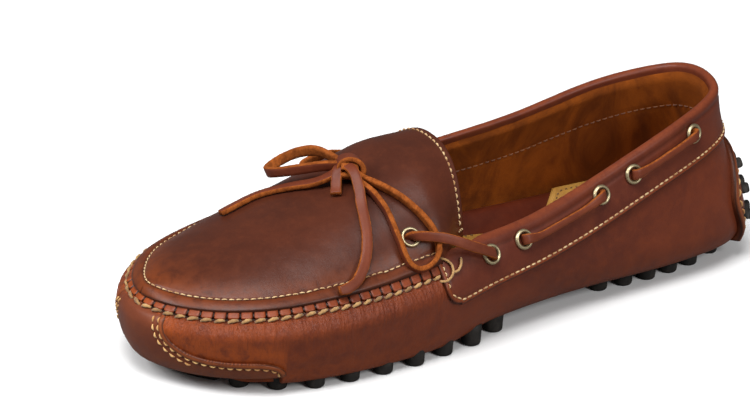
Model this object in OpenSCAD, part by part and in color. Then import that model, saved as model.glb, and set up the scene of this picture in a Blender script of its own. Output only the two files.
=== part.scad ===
// Driving moccasin for the left foot: a one-piece leather wrap with a sewn-in apron, a laced
// collar, a bow, and rubber pegs that stand out through the sole.
// The toe points to -Y, the outer side of the foot is +X, and the ground is z = 0.

/* [Size] */
// Length of the leather upper, heel to toe
shoe_length = 286; // [240:1:320]
// Width of the leather upper at the ball of the foot
shoe_width = 99; // [80:1:120]
// Height of the topline at the back of the heel
heel_height = 80; // [60:1:95]
// Height of the pegs, which is also the height of the leather's underside
peg_height = 7; // [4:0.5:10]

/* [Leather] */
// Thickness of the wrap and apron leather
leather = 1.6; // [1.2:0.1:2.4]
// Thickness of the collar leather
collar_leather = 1.4; // [1:0.1:2]
// Height of the collar band
collar_band = 21.5; // [16:0.5:28]
// Depth that the collar is folded down inside the topline
collar_fold = 7.5; // [4:0.5:12]
// Thickness of the cushioned leather insole
footbed_thickness = 5; // [2:0.1:6]
// Thickness of the padded heel sock
sock_thickness = 5.5; // [1.5:0.1:6]

/* [Lace] */
// Width of the flat rawhide lace
lace_width = 4; // [2.5:0.1:4.6]
// Thickness of the lace
lace_thickness = 1.5; // [1:0.1:2.5]
// Radius of the eyelet bore
eyelet_bore_r = 2.6; // [2:0.1:3.5]
// Outer radius of the eyelet flange
eyelet_flange_r = 4.2; // [3:0.1:6]

/* [Sole] */
// Radius of a peg at the ground
peg_r = 3.9; // [2.5:0.1:5]
// Distance from one peg to the next across the forepart
peg_pitch = 15; // [12:0.1:17]
// Thickness of the rubber plates that carry the pegs
plate = 1.5; // [1:0.1:3]
// Radius of the small pegs on the back of the heel
heel_peg_r = 2.35; // [1.5:0.05:3.5]

/* [Bending] */
// Distance from the back of the heel to the line where the toe bends
bend_at = 217.5; // [212:0.5:220]
// Largest upward bend of the toe, in degrees
bend_max = 25; // [10:1:35]
// Distance from the back of the heel to the line where the tongue lifts
tongue_at = 158; // [152:1:165]

/* [Hidden] */

// Stations round the shoe, anticlockwise from the middle of the heel by way of the outer side:
// [x, distance from the heel, height of the widest line, lean of the wall above it,
//  height of the topline or apron seam, tuck of the wall below the widest line]
STATIONS = [
    [0, 0, 14, 16, 80, 7], [21, 6, 15, 15, 79, 8], [32, 24, 18, 12, 76, 9],
    [36, 56, 22, 8, 69, 9], [38, 90, 25, 8, 59, 11], [41, 122, 27, 8, 52, 11],
    [44, 146, 27, 9, 49, 9], [47, 166, 27, 11, 46, 7], [49, 192, 26, 12, 41.5, 6],
    [48, 224, 25, 12, 38.5, 7], [40, 251.5, 25, 12, 37.5, 8], [23, 273, 25, 11, 37, 9],
    [-3, 283.5, 25, 10, 37, 9], [-27, 275.5, 25, 11, 37.5, 9], [-43, 257, 26, 12, 38.5, 8],
    [-50, 228, 26, 12, 41, 7], [-50, 198, 27, 12, 45, 7], [-46, 170, 28, 11, 51, 8],
    [-40, 146, 29, 8, 57, 10], [-35, 120, 28, 6, 61, 11], [-33, 88, 26, 6, 65, 11],
    [-32, 54, 22, 7, 72, 9], [-29, 23, 18, 12, 77, 9], [-19, 6, 15, 15, 79, 8]];
STATION_COUNT = len(STATIONS);
TOE = 12;
STEP = 0.25;
scale_x = shoe_width / 99;
scale_y = shoe_length / 286;
scale_z = heel_height / 80;
// The pegs behind the heel stand out further than the patch on the toe
heel_y = shoe_length / 2 - 3.4;

// Layers of the upper, as distances outward from the outside of the wrap
WRAP_IN = -leather;
COUNTER_OUT = -2.35;
COUNTER_IN = -3.1;
LINING_OUT = -3.4;
LINING_IN = -4.3;
FOLD_OUT = -5.7;
COLLAR_IN = 0.3;
COLLAR_OUT = COLLAR_IN + collar_leather;
PATCH_IN = 1.25;
PATCH_OUT = PATCH_IN + 1.3;
HEEL_PLATE_IN = 0.45;
HEEL_PLATE_OUT = 1.05;
HEEL_PATCH_IN = 1.4;
HEEL_PATCH_OUT = 2.9;
APRON_EDGE = -2.4;

// Heights of the layers of the sole
INSIDE_Z = peg_height + leather;
PLATE_Z = INSIDE_Z + 0.25;
FOOTBED_Z = PLATE_Z + plate + 0.25;
SOCK_Z = FOOTBED_Z + footbed_thickness + 0.2;
LINING_Z = FOOTBED_Z + footbed_thickness + 0.4;

// The toe turns about this line, and the leather beside it is cut to a wedge on each side
bend_y = heel_y - bend_at * scale_y;
bend_z = peg_height + 1;
bend_half = bend_max / 2 + 2;
// Distance of the rubber plates and of the insole from that line, so that they clear each other
plate_gap = 1.6;
insole_gap = 2.2;
tongue_y = heel_y - tongue_at * scale_y;

outer_eyelets = [2.5, 3.5, 4.0, 5.35, 6.1];
eyelet_drop = 9;
wrap_drop = 13.5;

leather_colour = [0.42, 0.19, 0.13];
suede_colour = [0.55, 0.31, 0.11];
sock_colour = [0.69, 0.52, 0.25];
lace_colour = [0.48, 0.24, 0.14];
rubber_colour = [0.17, 0.15, 0.14];
metal_colour = [0.74, 0.70, 0.58];
thread_colour = [0.84, 0.73, 0.55];
wax_thread_colour = [0.62, 0.48, 0.29];

// ---- Shape of the wall ----

function station(i) = STATIONS[((i % STATION_COUNT) + STATION_COUNT) % STATION_COUNT];

// A smooth curve through the stations, at any place t along them
function at(t) =
    let (i = floor(t), f = t - i, a = station(i - 1), b = station(i), c = station(i + 1),
        d = station(i + 2))
    (2 * b + (c - a) * f + (2 * a - 5 * b + 4 * c - d) * f * f
        + (3 * b - a - 3 * c + d) * f * f * f) / 2;

function outward(t) =
    let (v = at(t + 0.02) - at(t - 0.02), k = norm([v[0], v[1]]))
    [v[1] / k, -v[0] / k];

function top_z(t) = at(t)[4] * scale_z;
function foot_z(d) = peg_height - d;

// The wall leans in low down at the heel, and high up everywhere else
function lean(t, q) = q * q * (1 + 2 * (1 - q) * ease((from_toe(t) - 7) / 4));

// A point of the wall at place t and height z, d outward from the outside of the wrap
function wall(t, z, d) =
    let (r = at(t), n = outward(t), w = r[2] * scale_z, q = (z - w) / (top_z(t) - w),
        c = min(1, max(0, (w - z) / (w - foot_z(d)))),
        out = z >= w ? d - r[3] * lean(t, q) : d - r[5] * (1 - sqrt(1 - c * c)))
    [r[0] * scale_x + n[0] * out, heel_y - r[1] * scale_y - n[1] * out, z];

function reversed(v) = [for (i = [len(v) - 1:-1:0]) v[i]];
function steps(a, b, n) = [for (i = [0:n]) a + (b - a) * i / n];
function stations(a, b) = [for (i = [round(a / STEP):round(b / STEP)]) i * STEP];
function ease(x) = let (k = min(1, max(0, x))) k * k * (3 - 2 * k);
function unit(v) = v / norm(v);

// Distance in stations from the toe, the same on both sides
function from_toe(t) = abs(TOE - (t % STATION_COUNT + STATION_COUNT) % STATION_COUNT);

// A row of wall points from low to high, closer together where the wall curves under
function wall_column(t, low, high, d, rows) =
    [for (k = [0:rows]) wall(t, low + (high - low) * pow(k / rows, 1.6), d)];

// The solid between matching sections, each a loop of outer points then inner points
module loft(sections, closed = false) {
    n = len(sections);
    m = len(sections[0]);
    side = [for (i = [0:(closed ? n - 1 : n - 2)], j = [0:m - 1])
        let (a = i * m + j, b = i * m + (j + 1) % m, c = ((i + 1) % n) * m + j,
            d = ((i + 1) % n) * m + (j + 1) % m)
        each [[a, c, b], [b, c, d]]];
    ends = closed ? [] : [for (j = [0:m / 2 - 2])
        let (p = m - 1 - j, e = (n - 1) * m)
        each [[j, j + 1, p], [j + 1, p - 1, p],
            [e + j, e + p, e + j + 1], [e + j + 1, e + p, e + p - 1]]];
    polyhedron([for (s = sections) each s], concat(side, ends), convexity = 10);
}

// The same with a flat floor across the first outer points and across the last inner points
module bowl(sections) {
    n = len(sections);
    m = len(sections[0]);
    side = [for (i = [0:n - 1], j = [0:m - 2])
        let (a = i * m + j, b = a + 1, c = ((i + 1) % n) * m + j, d = c + 1)
        each [[a, c, b], [b, c, d]]];
    polyhedron([for (s = sections) each s],
        concat(side, [[for (i = [n - 1:-1:0]) i * m], [for (i = [0:n - 1]) i * m + m - 1]]),
        convexity = 10);
}

// A layer of the wall between two heights, as a solid
module wall_shell(places, low, high, out, inside, rows = 6, closed = false) {
    loft([for (i = [0:len(places) - 1])
        concat(wall_column(places[i], low[i], high[i], out, rows),
            reversed(wall_column(places[i], low[i], high[i], inside, rows)))], closed);
}

// A flat ribbon along [point, width direction] pairs, square across and mitred at corners
module ribbon(path, width, thickness) {
    n = len(path);
    function ahead(i) = unit(path[min(i + 1, n - 1)][0] - path[max(i, 0)][0]);
    function along(i) =
        i == 0 ? ahead(0) : i == n - 1 ? ahead(n - 2) : unit(ahead(i - 1) + ahead(i));
    loft([for (i = [0:n - 1])
        let (t = along(i), w = unit(path[i][1] - (path[i][1] * t) * t), b = cross(t, w),
            mitre = 1 / max(0.7, t * ahead(min(i, n - 2))),
            p = path[i][0], dw = w * width / 2, db = b * mitre * thickness / 2)
        [p - dw - db, p + dw - db, p + dw + db, p - dw + db]]);
}

// The outline of a layer's inside at a height, for the flat parts of the sole
function floor_outline(z, d) = [for (t = stations(0, STATION_COUNT - STEP))
    let (p = wall(t, z, d)) [p[0], p[1]]];

// Keeps the part behind or before the line where the toe bends
module behind_bend(gap = 0.15) {
    intersection() {
        children();
        wedge([[bend_y + gap, -50], [400, -50], [400, 150],
            [bend_y + gap + tan(bend_half) * (150 - bend_z), 150], [bend_y + gap, bend_z]]);
    }
}

module before_bend(gap = 0.15) {
    intersection() {
        children();
        wedge([[bend_y - gap, -50], [-400, -50], [-400, 150],
            [bend_y - gap - tan(bend_half) * (150 - bend_z), 150], [bend_y - gap, bend_z]]);
    }
}

// Keeps the wedge between the two, a little clear of both
module in_bend(gap = 0.1) {
    reach = tan(bend_half) * (150 - bend_z);
    intersection() {
        children();
        wedge([[bend_y, bend_z + 2], [bend_y + reach - gap - 0.5, 150],
            [bend_y - reach + gap + 0.5, 150]]);
    }
}

module wedge(outline) {
    rotate([90, 0, 90])
        linear_extrude(height = 300, center = true)
            polygon(outline);
}

// Turns a shape whose +Z is outward so that it stands on a surface
module stand_on(point, normal, up) {
    z = unit(normal);
    x = unit(cross(up, z));
    y = cross(z, x);
    multmatrix([[x[0], y[0], z[0], point[0]], [x[1], y[1], z[1], point[1]],
            [x[2], y[2], z[2], point[2]], [0, 0, 0, 1]])
        children();
}

function wall_normal(t, z, d) =
    let (a = wall(t + 0.03, z, d) - wall(t - 0.03, z, d),
        b = wall(t, z + 0.5, d) - wall(t, z - 0.5, d), n = unit(cross(a, b)), o = outward(t))
    n * (n[0] * o[0] - n[1] * o[1] > 0 ? 1 : -1);

// ---- Shape of the apron ----
// w counts stations back from the toe, and u runs from -1 at the inner edge to 1 at the outer.

crowns = [[0, 1], [1, 5], [2, 9], [3, 14], [4, 19], [5, 24], [5.75, 30]];

// The tongue is narrower than the throat, so its edges leave the seam behind station 5
function edge_layer(w) = APRON_EDGE - 7.5 * ease((w - 4.9) / 0.85);
function edge_z(w, side) = top_z(TOE - side * w) + 0.4 - 6 * ease((w - 5) / 0.75);

function apron_edge(w, side, z, deeper) =
    let (p = wall(TOE - side * w, min(z, top_z(TOE - side * w)), edge_layer(w) - deeper))
    [p[0], p[1], z];

function apron(w, u, deeper = 0) =
    let (a = apron_edge(w, 1, edge_z(w, 1) - deeper, deeper),
        b = apron_edge(w, -1, edge_z(w, -1) - deeper, deeper),
        p = (a + b) / 2 + u * (a - b) / 2,
        rise = lookup(w, crowns) * scale_z * pow(max(0, 1 - pow(abs(u), 2.4)), 0.8 - 0.04 * w),
        back = 5 * (1 - u * u) * ease((w - 5) / 0.75))
    [p[0], p[1] + back, p[2] + rise];

function apron_normal(w, u) =
    unit(cross(apron(w, u + 0.02) - apron(w, u - 0.02), apron(w + 0.03, u) - apron(w - 0.03, u)));

across = [-1, -0.97, -0.9, -0.75, -0.55, -0.3, 0, 0.3, 0.55, 0.75, 0.9, 0.97, 1];
rim_depth = 3.5;

function apron_row(w, deeper) =
    concat([apron_edge(w, -1, edge_z(w, -1) - rim_depth, deeper)],
        [for (u = across) apron(w, u, deeper)],
        [apron_edge(w, 1, edge_z(w, 1) - rim_depth, deeper)]);

module apron_sheet() {
    loft([for (w = stations(0.25, 5.75))
        concat(apron_row(w, 0), reversed(apron_row(w, leather)))]);
}

// Cuts the tongue from the vamp across the throat
module behind_throat(gap = 0.35) {
    intersection() {
        children();
        translate([-100, tongue_y + gap, 0])
            cube([200, 100, 150]);
    }
}

module before_throat(gap = 0.35) {
    intersection() {
        children();
        translate([-100, tongue_y - gap - 200, 0])
            cube([200, 200, 150]);
    }
}

// ---- The wrap ----

function wrap_top(t) = top_z(t) - wrap_drop * ease((from_toe(t) - 4.7) / 0.6);

function wrap_column(t, d) =
    let (w = at(t)[2] * scale_z, foot = foot_z(d))
    concat([for (k = [0:4]) wall(t, w - (w - foot) * cos(22.5 * k), d)],
        [for (k = [1:3]) wall(t, w + (wrap_top(t) - w) * k / 3, d)]);

module wrap_sheet() {
    difference() {
        bowl([for (t = stations(0, STATION_COUNT - STEP))
            concat(wrap_column(t, 0), reversed(wrap_column(t, WRAP_IN)))]);
        peg_holes();
    }
}

// The faceted sheet with its holes is evaluated in one piece
module whole() {
    resize([0, 0, 0])
        children();
}

// ---- Pegs ----

// [distance from the heel, x of the outermost peg, number of pegs]
ball_rows = [[137.8, 31, 2], [152.4, 37, 3], [167, 39, 5], [181.6, 41, 6], [196.2, 41, 6],
    [210.8, 40, 6]];
toe_rows = [[225.4, 38, 6], [238.6, 32, 5], [250.4, 23, 4]];
heel_rows = [[78, 20, 4], [66, 21, 4], [54, 21, 4], [42, 20, 4], [30, 18, 3]];
heel_across_pitch = 13.5;

function peg_spots(rows, pitch) = [for (r = rows, k = [0:r[2] - 1])
    [(r[1] - k * pitch) * scale_x, heel_y - r[0] * scale_y]];

ball_spots = peg_spots(ball_rows, peg_pitch);
toe_spots = peg_spots(toe_rows, peg_pitch);
heel_spots = peg_spots(heel_rows, heel_across_pitch);
// Distance inward from the wall to the middle of the curved bars at the toe and the heel
toe_bar_in = 11;
heel_bar_in = 5;
bar_width = 9;
// Pegs that tie the curved bars to their plates
toe_bar_ties = [for (t = [11.3, 12, 12.7]) wall(t, peg_height, -toe_bar_in)];
heel_bar_ties = [for (t = [-0.7, 0, 0.7]) wall(t, peg_height, -heel_bar_in)];
peg_neck_r = peg_r + 0.3;
tie_r = 2.5;

module peg_holes() {
    for (p = concat(ball_spots, toe_spots, heel_spots))
        translate([p[0], p[1], peg_height - 1])
            cylinder(r = peg_neck_r + 0.2, h = leather + 2, $fn = 12);
    for (p = concat(toe_bar_ties, heel_bar_ties))
        translate([p[0], p[1], peg_height - 1])
            cylinder(r = tie_r + 0.2, h = leather + 2, $fn = 12);
}

module pegs(spots) {
    for (p = spots)
        translate([p[0], p[1], 0])
            cylinder(r1 = peg_r, r2 = peg_neck_r, h = PLATE_Z + 0.5, $fn = 24);
}

module ties(spots) {
    for (p = spots)
        translate([p[0], p[1], peg_height - 1])
            cylinder(r = tie_r, h = PLATE_Z - peg_height + 1.5, $fn = 20);
}

// A plate that covers its pegs, inside the leather's underside
module peg_plate(from, to, margin) {
    translate([0, 0, PLATE_Z])
        linear_extrude(height = plate)
            intersection() {
                polygon(floor_outline(PLATE_Z, WRAP_IN - margin));
                translate([-100, heel_y - to * scale_y])
                    square([200, (to - from) * scale_y]);
            }
}

// A curved bar that follows the edge of the sole between two distances from the heel
module edge_bar(from, to, inward) {
    linear_extrude(height = peg_height - 0.2)
        intersection() {
            difference() {
                polygon(floor_outline(peg_height, bar_width / 2 - inward));
                polygon(floor_outline(peg_height, -bar_width / 2 - inward));
            }
            translate([-100, heel_y - to * scale_y])
                square([200, (to - from) * scale_y]);
        }
}

// ---- Patches at the toe and heel ----

// Upper edge of the toe patch, by place along the stations
toe_patch_edge = [[9.65, 9.5], [9.8, 11.5], [10, 13.3], [10.5, 13.6], [11, 15.5], [11.25, 20],
    [11.5, 29.5], [12.5, 29.5], [12.75, 20], [13, 15.5], [13.5, 13.6], [14, 13.3], [14.2, 11.5],
    [14.35, 9.5]];
toe_patch_low = 8.4;
patch_half = 1.75;
heel_patch_low = 9;
heel_patch_top = 51;

function heel_patch_z(t) =
    heel_patch_low + 8 + (heel_patch_top - heel_patch_low - 8)
        * sqrt(max(0, 1 - pow(min(1, abs(t) / patch_half), 2.6)));

// The small pegs on the heel: three rows, the middle one set over by half a pitch
heel_peg_spots = concat(
    [for (k = [-3:3]) [k * 0.37, 19.5]],
    [for (k = [-3:2]) [(k + 0.5) * 0.37, 29]],
    [for (k = [-2:2]) [k * 0.37, 38.5]]);

module heel_pegs(radius, out, facets) {
    for (p = heel_peg_spots)
        stand_on(wall(p[0], p[1], HEEL_PLATE_IN), wall_normal(p[0], p[1], 0), [0, 0, 1])
            translate([0, 0, 0.3])
                rotate([0, 0, 7])
                    cylinder(r = radius, h = out - HEEL_PLATE_IN, $fn = facets);
}

// ---- Collar ----

function collar_column(t, out, fold, roll) =
    let (z = top_z(t), m = (out + fold) / 2, r = (out - fold) / 2)
    concat([for (k = [0, 0.35, 0.7]) wall(t, z - collar_band + (collar_band - 2.5) * k, out)],
        [for (a = [0:30:180]) wall(t, z - 2.5 + roll * sin(a), m + r * cos(a))],
        [wall(t, z - collar_fold, fold)]);

module collar_roll() {
    loft([for (t = stations(-6.5, 6.5))
        concat(collar_column(t, COLLAR_OUT, FOLD_OUT, 3.4),
            reversed(collar_column(t, COLLAR_IN, LINING_IN - 0.4, 2.2)))]);
}

// The collar ends in a rounded leaf on each side of the throat
leaf_high = [[4.75, 6.5], [5, 3.6], [5.25, 1.8], [5.5, 0.8], [6, 0.3], [7, 0.3]];
leaf_low = [[4.75, 14], [5, 18], [5.25, 20.4], [5.5, 21.2], [7, 21.2]];

module collar_leaf(side) {
    near = [for (a = [4.75, 5, 5.25, 5.4, 5.62]) TOE - side * a];
    places = side > 0 ? reversed(near) : near;
    wall_shell(places, [for (t = places) top_z(t) - lookup(from_toe(t), leaf_low)],
        [for (t = places) top_z(t) - 2.6 - lookup(from_toe(t), leaf_high)],
        COLLAR_OUT - 0.25, COLLAR_IN + 0.25, rows = 4);
}

function eyelet_places() = concat(outer_eyelets, [for (t = outer_eyelets) STATION_COUNT - t]);
function eyelet_point(t) = wall(t, top_z(t) - eyelet_drop, (COLLAR_OUT + COLLAR_IN) / 2);
function eyelet_normal(t) = wall_normal(t, top_z(t) - eyelet_drop, COLLAR_OUT);

apron_eyelet_w = 4.42;
apron_eyelet_u = 0.86;
function apron_eyelet_point(side) = apron(apron_eyelet_w, side * apron_eyelet_u);
function apron_eyelet_normal(side) = apron_normal(apron_eyelet_w, side * apron_eyelet_u);

// A rolled metal ring through a sheet, with a flange outside and a rim inside
module eyelet(sheet) {
    barrel = eyelet_bore_r + 0.5;
    difference() {
        union() {
            translate([0, 0, -sheet / 2 - 0.9])
                cylinder(r = barrel, h = sheet + 1.8, $fn = 32);
            translate([0, 0, sheet / 2 + 0.35])
                cylinder(r1 = eyelet_flange_r, r2 = eyelet_flange_r - 0.7, h = 0.7, $fn = 32);
            translate([0, 0, -sheet / 2 - 0.95])
                cylinder(r = barrel + 0.8, h = 0.5, $fn = 32);
        }
        translate([0, 0, -5])
            cylinder(r = eyelet_bore_r, h = 10, $fn = 32);
    }
}

module eyelet_hole() {
    rotate([0, 0, 16])
        cylinder(r = eyelet_bore_r + 0.65, h = 8, center = true, $fn = 18);
}

// ---- Lace ----

knot_w = 4.26;
knot_lift = 5.9;
lace_hole_u = 0.12;
under_apron = leather + 2.2;
over_apron = 2.7;

function above(w, u, h) = apron(w, u) + apron_normal(w, u) * h;
function lengthwise(w, u) = unit(apron(w - 0.05, u) - apron(w + 0.05, u));
function up_wall(t, z) = unit(wall(t, z + 1, 0) - wall(t, z - 1, 0));
function lace_z(t) = top_z(t) - eyelet_drop;
function lace_in(t) = [eyelet_point(t) - eyelet_normal(t) * 2.9, up_wall(t, lace_z(t))];
function lace_out(t) = [eyelet_point(t) + eyelet_normal(t) * 3.05, up_wall(t, lace_z(t))];

// Lace along the wall between two eyelets, outside or inside the collar
function lace_run(a, b, d) =
    let (n = max(2, round(abs(b - a) / 0.25)))
    [for (k = [1:n - 1])
        let (t = a + (b - a) * k / n) [wall(t, lace_z(t), d), up_wall(t, lace_z(t))]];

lace_outside = 3.9;
lace_inside = -1.8;

// One half of the lace: up through the apron, over the seam and round the collar to the heel
function lace_half(side) =
    let (e = [for (t = reversed(outer_eyelets)) side > 0 ? t : STATION_COUNT - t],
        heel = side > 0 ? 0.25 : STATION_COUNT - 0.25,
        hole = side * lace_hole_u, eu = side * apron_eyelet_u, ew = apron_eyelet_w,
        start = above(ew, eu, over_apron), finish = lace_out(e[0])[0])
    concat(
        [[above(knot_w, hole, 1.2), lengthwise(knot_w, hole)]],
        [for (k = [0:5]) let (u = hole + (eu - hole) * k / 5, w = knot_w + (ew - knot_w) * k / 5)
            [above(w, u, -under_apron), lengthwise(w, u)]],
        [[start, lengthwise(ew, eu)]],
        [[start * 0.67 + finish * 0.33 + [side * 3, 0, 3.5], [0, -0.8, 0.6]],
            [start * 0.33 + finish * 0.67 + [side * 3.5, 0, 2.5], [0, -0.4, 0.9]]],
        [lace_out(e[0]), lace_in(e[0])], lace_run(e[0], e[1], lace_inside),
        [lace_in(e[1]), lace_out(e[1])], lace_run(e[1], e[2], lace_outside),
        [lace_out(e[2]), lace_in(e[2])], lace_run(e[2], e[3], lace_inside),
        [lace_in(e[3]), lace_out(e[3])], lace_run(e[3], e[4], lace_outside),
        [lace_out(e[4]), lace_in(e[4])], lace_run(e[4], heel, lace_inside));

// Points of a smooth curve through [w, u, height] places over the apron
function smooth(v, n) = [for (i = [0:len(v) - 2], k = [0:n - 1])
    let (a = v[max(i - 1, 0)], b = v[i], c = v[i + 1], d = v[min(i + 2, len(v) - 1)], f = k / n)
    (2 * b + (c - a) * f + (2 * a - 5 * b + 4 * c - d) * f * f
        + (3 * b - a - 3 * c + d) * f * f * f) / 2];

// A loop stands on its edge over the apron, and an end lies flat along it
function loop_path(v) =
    [for (p = smooth(v, 4)) [above(p[0], p[1], p[2]), apron_normal(p[0], p[1])]];
function end_path(v) =
    let (q = [for (p = smooth(v, 4)) [above(p[0], p[1], p[2]), apron_normal(p[0], p[1])]])
    [for (i = [0:len(q) - 1])
        let (t = q[min(i + 1, len(q) - 1)][0] - q[max(i - 1, 0)][0])
            [q[i][0], unit(cross(t, q[i][1]))]];

outer_loop = [[4.34, 0.27, 4], [4.42, 0.5, 3.8], [4.5, 0.75, 6.5], [4.6, 0.93, 8.4],
    [4.55, 0.99, 8.5], [4.3, 0.985, 7.2], [4.12, 0.96, 4.6], [4.12, 0.83, 3.4], [4.2, 0.68, 3.4],
    [4.22, 0.5, 3.6], [4.24, 0.3, 4]];
inner_loop = [[4.28, -0.24, 6], [4.25, -0.4, 7.5], [4.1, -0.6, 8], [3.88, -0.68, 7.5],
    [3.68, -0.6, 6.5], [3.72, -0.45, 6], [3.9, -0.3, 6], [4.08, -0.2, 6]];
outer_end = [[3.98, 0.14, 3], [4.0, 0.32, 2], [3.96, 0.52, 1.6], [3.85, 0.72, 1.6], [3.7, 0.86, 1.7],
    [3.52, 0.95, 2.6], [3.34, 0.985, 3.6], [3.2, 0.99, 4]];
inner_end = [[3.98, -0.02, 3], [3.85, -0.14, 1.6], [3.6, -0.34, 1.5], [3.3, -0.5, 1.5],
    [3.0, -0.52, 1.5], [2.75, -0.52, 1.5]];

// ---- Threads ----

module wall_thread(places, drop, d, half = 0.45) {
    middle = [for (k = [0:len(places) - 1]) top_z(places[k]) - drop[k]];
    wall_shell(places, [for (z = middle) z - half], [for (z = middle) z + half], d + 0.75, d + 0.15,
        rows = 1);
}

// A thread laid along wall points [t, z], a little clear of the surface
module patch_thread(v, d, size = 0.6) {
    ribbon([for (p = smooth([for (q = v) [q[0], q[1], 0]], 4))
        [wall(p[0], p[1], d + 0.2 + size / 2), wall_normal(p[0], p[1], d)]], size, size * 1.4);
}

function mirrored(v) = concat(v, [for (p = reversed(v)) if (p[0] != 0) [-p[0], p[1]]]);

heel_thread = mirrored([[1.5, 12], [1.52, 17], [1.5, 25], [1.42, 33], [1.25, 39], [0.9, 43.4],
    [0.4, 45.8], [0, 46.2]]);
toe_thread = [[9.95, 10.5], [10.1, 11.6], [10.5, 11.8], [11, 13], [11.35, 16.5], [11.55, 22],
    [11.62, 28]];

// The place on a row of the apron that is a given distance from its outer edge
function inset_u(w, distance, u = 0.99) =
    norm(apron(w, u) - apron(w, 1)) >= distance ? u : inset_u(w, distance, u - 0.005);

module apron_thread() {
    back = [for (w = steps(4.9, 1.0, 26)) [w, inset_u(w, 5), 0.55]];
    round_toe = [[0.8, 0.66, 0.55], [0.68, 0.35, 0.55], [0.64, 0, 0.55]];
    half = concat(back, round_toe);
    whole_line = concat(half, [for (p = reversed(half)) if (p[1] != 0) [p[0], -p[1], p[2]]]);
    ribbon([for (p = whole_line) [above(p[0], p[1], p[2]), apron_normal(p[0], p[1])]], 0.5, 0.8);
}

// ---- Sub-parts ----

module wrap_rear() {
    color(leather_colour) whole() behind_bend() wrap_sheet();
}

module wrap_bend_zone() {
    color(leather_colour) whole() in_bend() wrap_sheet();
}

module wrap_toe() {
    color(leather_colour) whole() before_bend() wrap_sheet();
}

module apron_toe() {
    color(leather_colour) whole() before_bend() apron_sheet();
}

module apron_bend_zone() {
    color(leather_colour) whole() in_bend() apron_sheet();
}

module apron_vamp() {
    color(leather_colour) whole()
        difference() {
            behind_bend() before_throat() apron_sheet();
            for (side = [-1, 1]) {
                stand_on(apron_eyelet_point(side), apron_eyelet_normal(side), [0, 0, 1])
                    eyelet_hole();
                stand_on(apron(knot_w, side * lace_hole_u), apron_normal(knot_w, 0), [0, 1, 0])
                    cylinder(r = 2.6, h = 8, center = true, $fn = 16);
            }
        }
}

module tongue() {
    color(leather_colour) whole() behind_throat() apron_sheet();
}

module toe_patch() {
    places = stations(9.75, 14.25);
    color(leather_colour)
        wall_shell(places, [for (t = places) toe_patch_low],
            [for (t = places) lookup(t, toe_patch_edge)], PATCH_OUT, PATCH_IN, rows = 8);
}

module heel_patch() {
    places = stations(-1.75, 1.75);
    color(leather_colour) whole()
        difference() {
            wall_shell(places, [for (t = places) heel_patch_low], [for (t = places) heel_patch_z(t)],
                HEEL_PATCH_OUT, HEEL_PATCH_IN, rows = 6);
            heel_pegs(heel_peg_r + 0.2, 8, 10);
        }
}

module back_stay() {
    places = stations(-0.5, 0.5);
    color(leather_colour)
        wall_shell(places, [for (t = places) heel_patch_top + 0.6],
            [for (t = places) top_z(t) - collar_band - 0.5], 1.1, 0.3, rows = 2);
}

module collar() {
    color(leather_colour) whole()
        difference() {
            union() {
                collar_roll();
                collar_leaf(1);
                collar_leaf(-1);
            }
            for (t = eyelet_places())
                stand_on(eyelet_point(t), eyelet_normal(t), [0, 0, 1]) eyelet_hole();
        }
}

module quarter_lining() {
    places = stations(-6.25, 6.25);
    color(suede_colour)
        wall_shell(places, [for (t = places) LINING_Z], [for (t = places) top_z(t) - 3],
            LINING_OUT, LINING_IN, rows = 7);
}

module heel_counter() {
    places = stations(-3, 3);
    color(suede_colour)
        wall_shell(places, [for (t = places) LINING_Z], [for (t = places) top_z(t) - 24],
            COUNTER_OUT, COUNTER_IN, rows = 6);
}

module footbed(from, to) {
    translate([0, 0, FOOTBED_Z])
        linear_extrude(height = footbed_thickness)
            intersection() {
                polygon(floor_outline(FOOTBED_Z, WRAP_IN - 0.9));
                translate([-100, heel_y - to])
                    square([200, to - from]);
            }
}

module footbed_rear() {
    color(leather_colour) footbed(-10, bend_at * scale_y - insole_gap);
}

module footbed_toe() {
    color(leather_colour) footbed(bend_at * scale_y + insole_gap, shoe_length + 10);
}

// The sock covers the heel, and is cut away beside the arch. Its edge holds [x, distance from the heel]
sock_edge = [[-40, 62], [-29, 68], [-20, 77], [-12, 88], [-10, 100], [-12, 112], [-15, 124], [-16, 140],
    [-12, 156], [2, 168], [20, 172], [40, 172]];

module sock_outline(margin) {
    moved_in = [for (q = sock_edge) [q[0] + margin * 0.8, q[1] - margin * 0.8, 0]];
    intersection() {
        polygon(floor_outline(SOCK_Z, LINING_IN - 1.2 - margin));
        polygon(concat([for (p = smooth(moved_in, 4)) [p[0] * scale_x, heel_y - p[1] * scale_y]],
            [[80, heel_y - 172 * scale_y], [80, 200], [-80, 200], [-80, heel_y - 62 * scale_y]]));
    }
}

module heel_sock() {
    color(sock_colour)
        translate([0, 0, SOCK_Z])
            linear_extrude(height = sock_thickness)
                sock_outline(0);
}

module heel_peg_plate() {
    color(rubber_colour) {
        peg_plate(6, 86, 1.2);
        pegs(heel_spots);
        ties(heel_bar_ties);
        edge_bar(-5, 19, heel_bar_in);
    }
}

module ball_peg_plate() {
    color(rubber_colour) {
        peg_plate(131, bend_at - plate_gap, 1.2);
        pegs(ball_spots);
    }
}

module toe_peg_plate() {
    color(rubber_colour) {
        peg_plate(bend_at + plate_gap, 280, 1.2);
        pegs(toe_spots);
        ties(toe_bar_ties);
        edge_bar(256.5, 300, toe_bar_in);
    }
}

module heel_back_peg_plate() {
    places = stations(-1.25, 1.25);
    color(rubber_colour)
        union() {
            wall_shell(places, [for (t = places) heel_patch_low + 5], [for (t = places) 43],
                HEEL_PLATE_OUT, HEEL_PLATE_IN, rows = 4);
            heel_pegs(heel_peg_r, HEEL_PATCH_OUT + 3, 24);
        }
}

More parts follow.
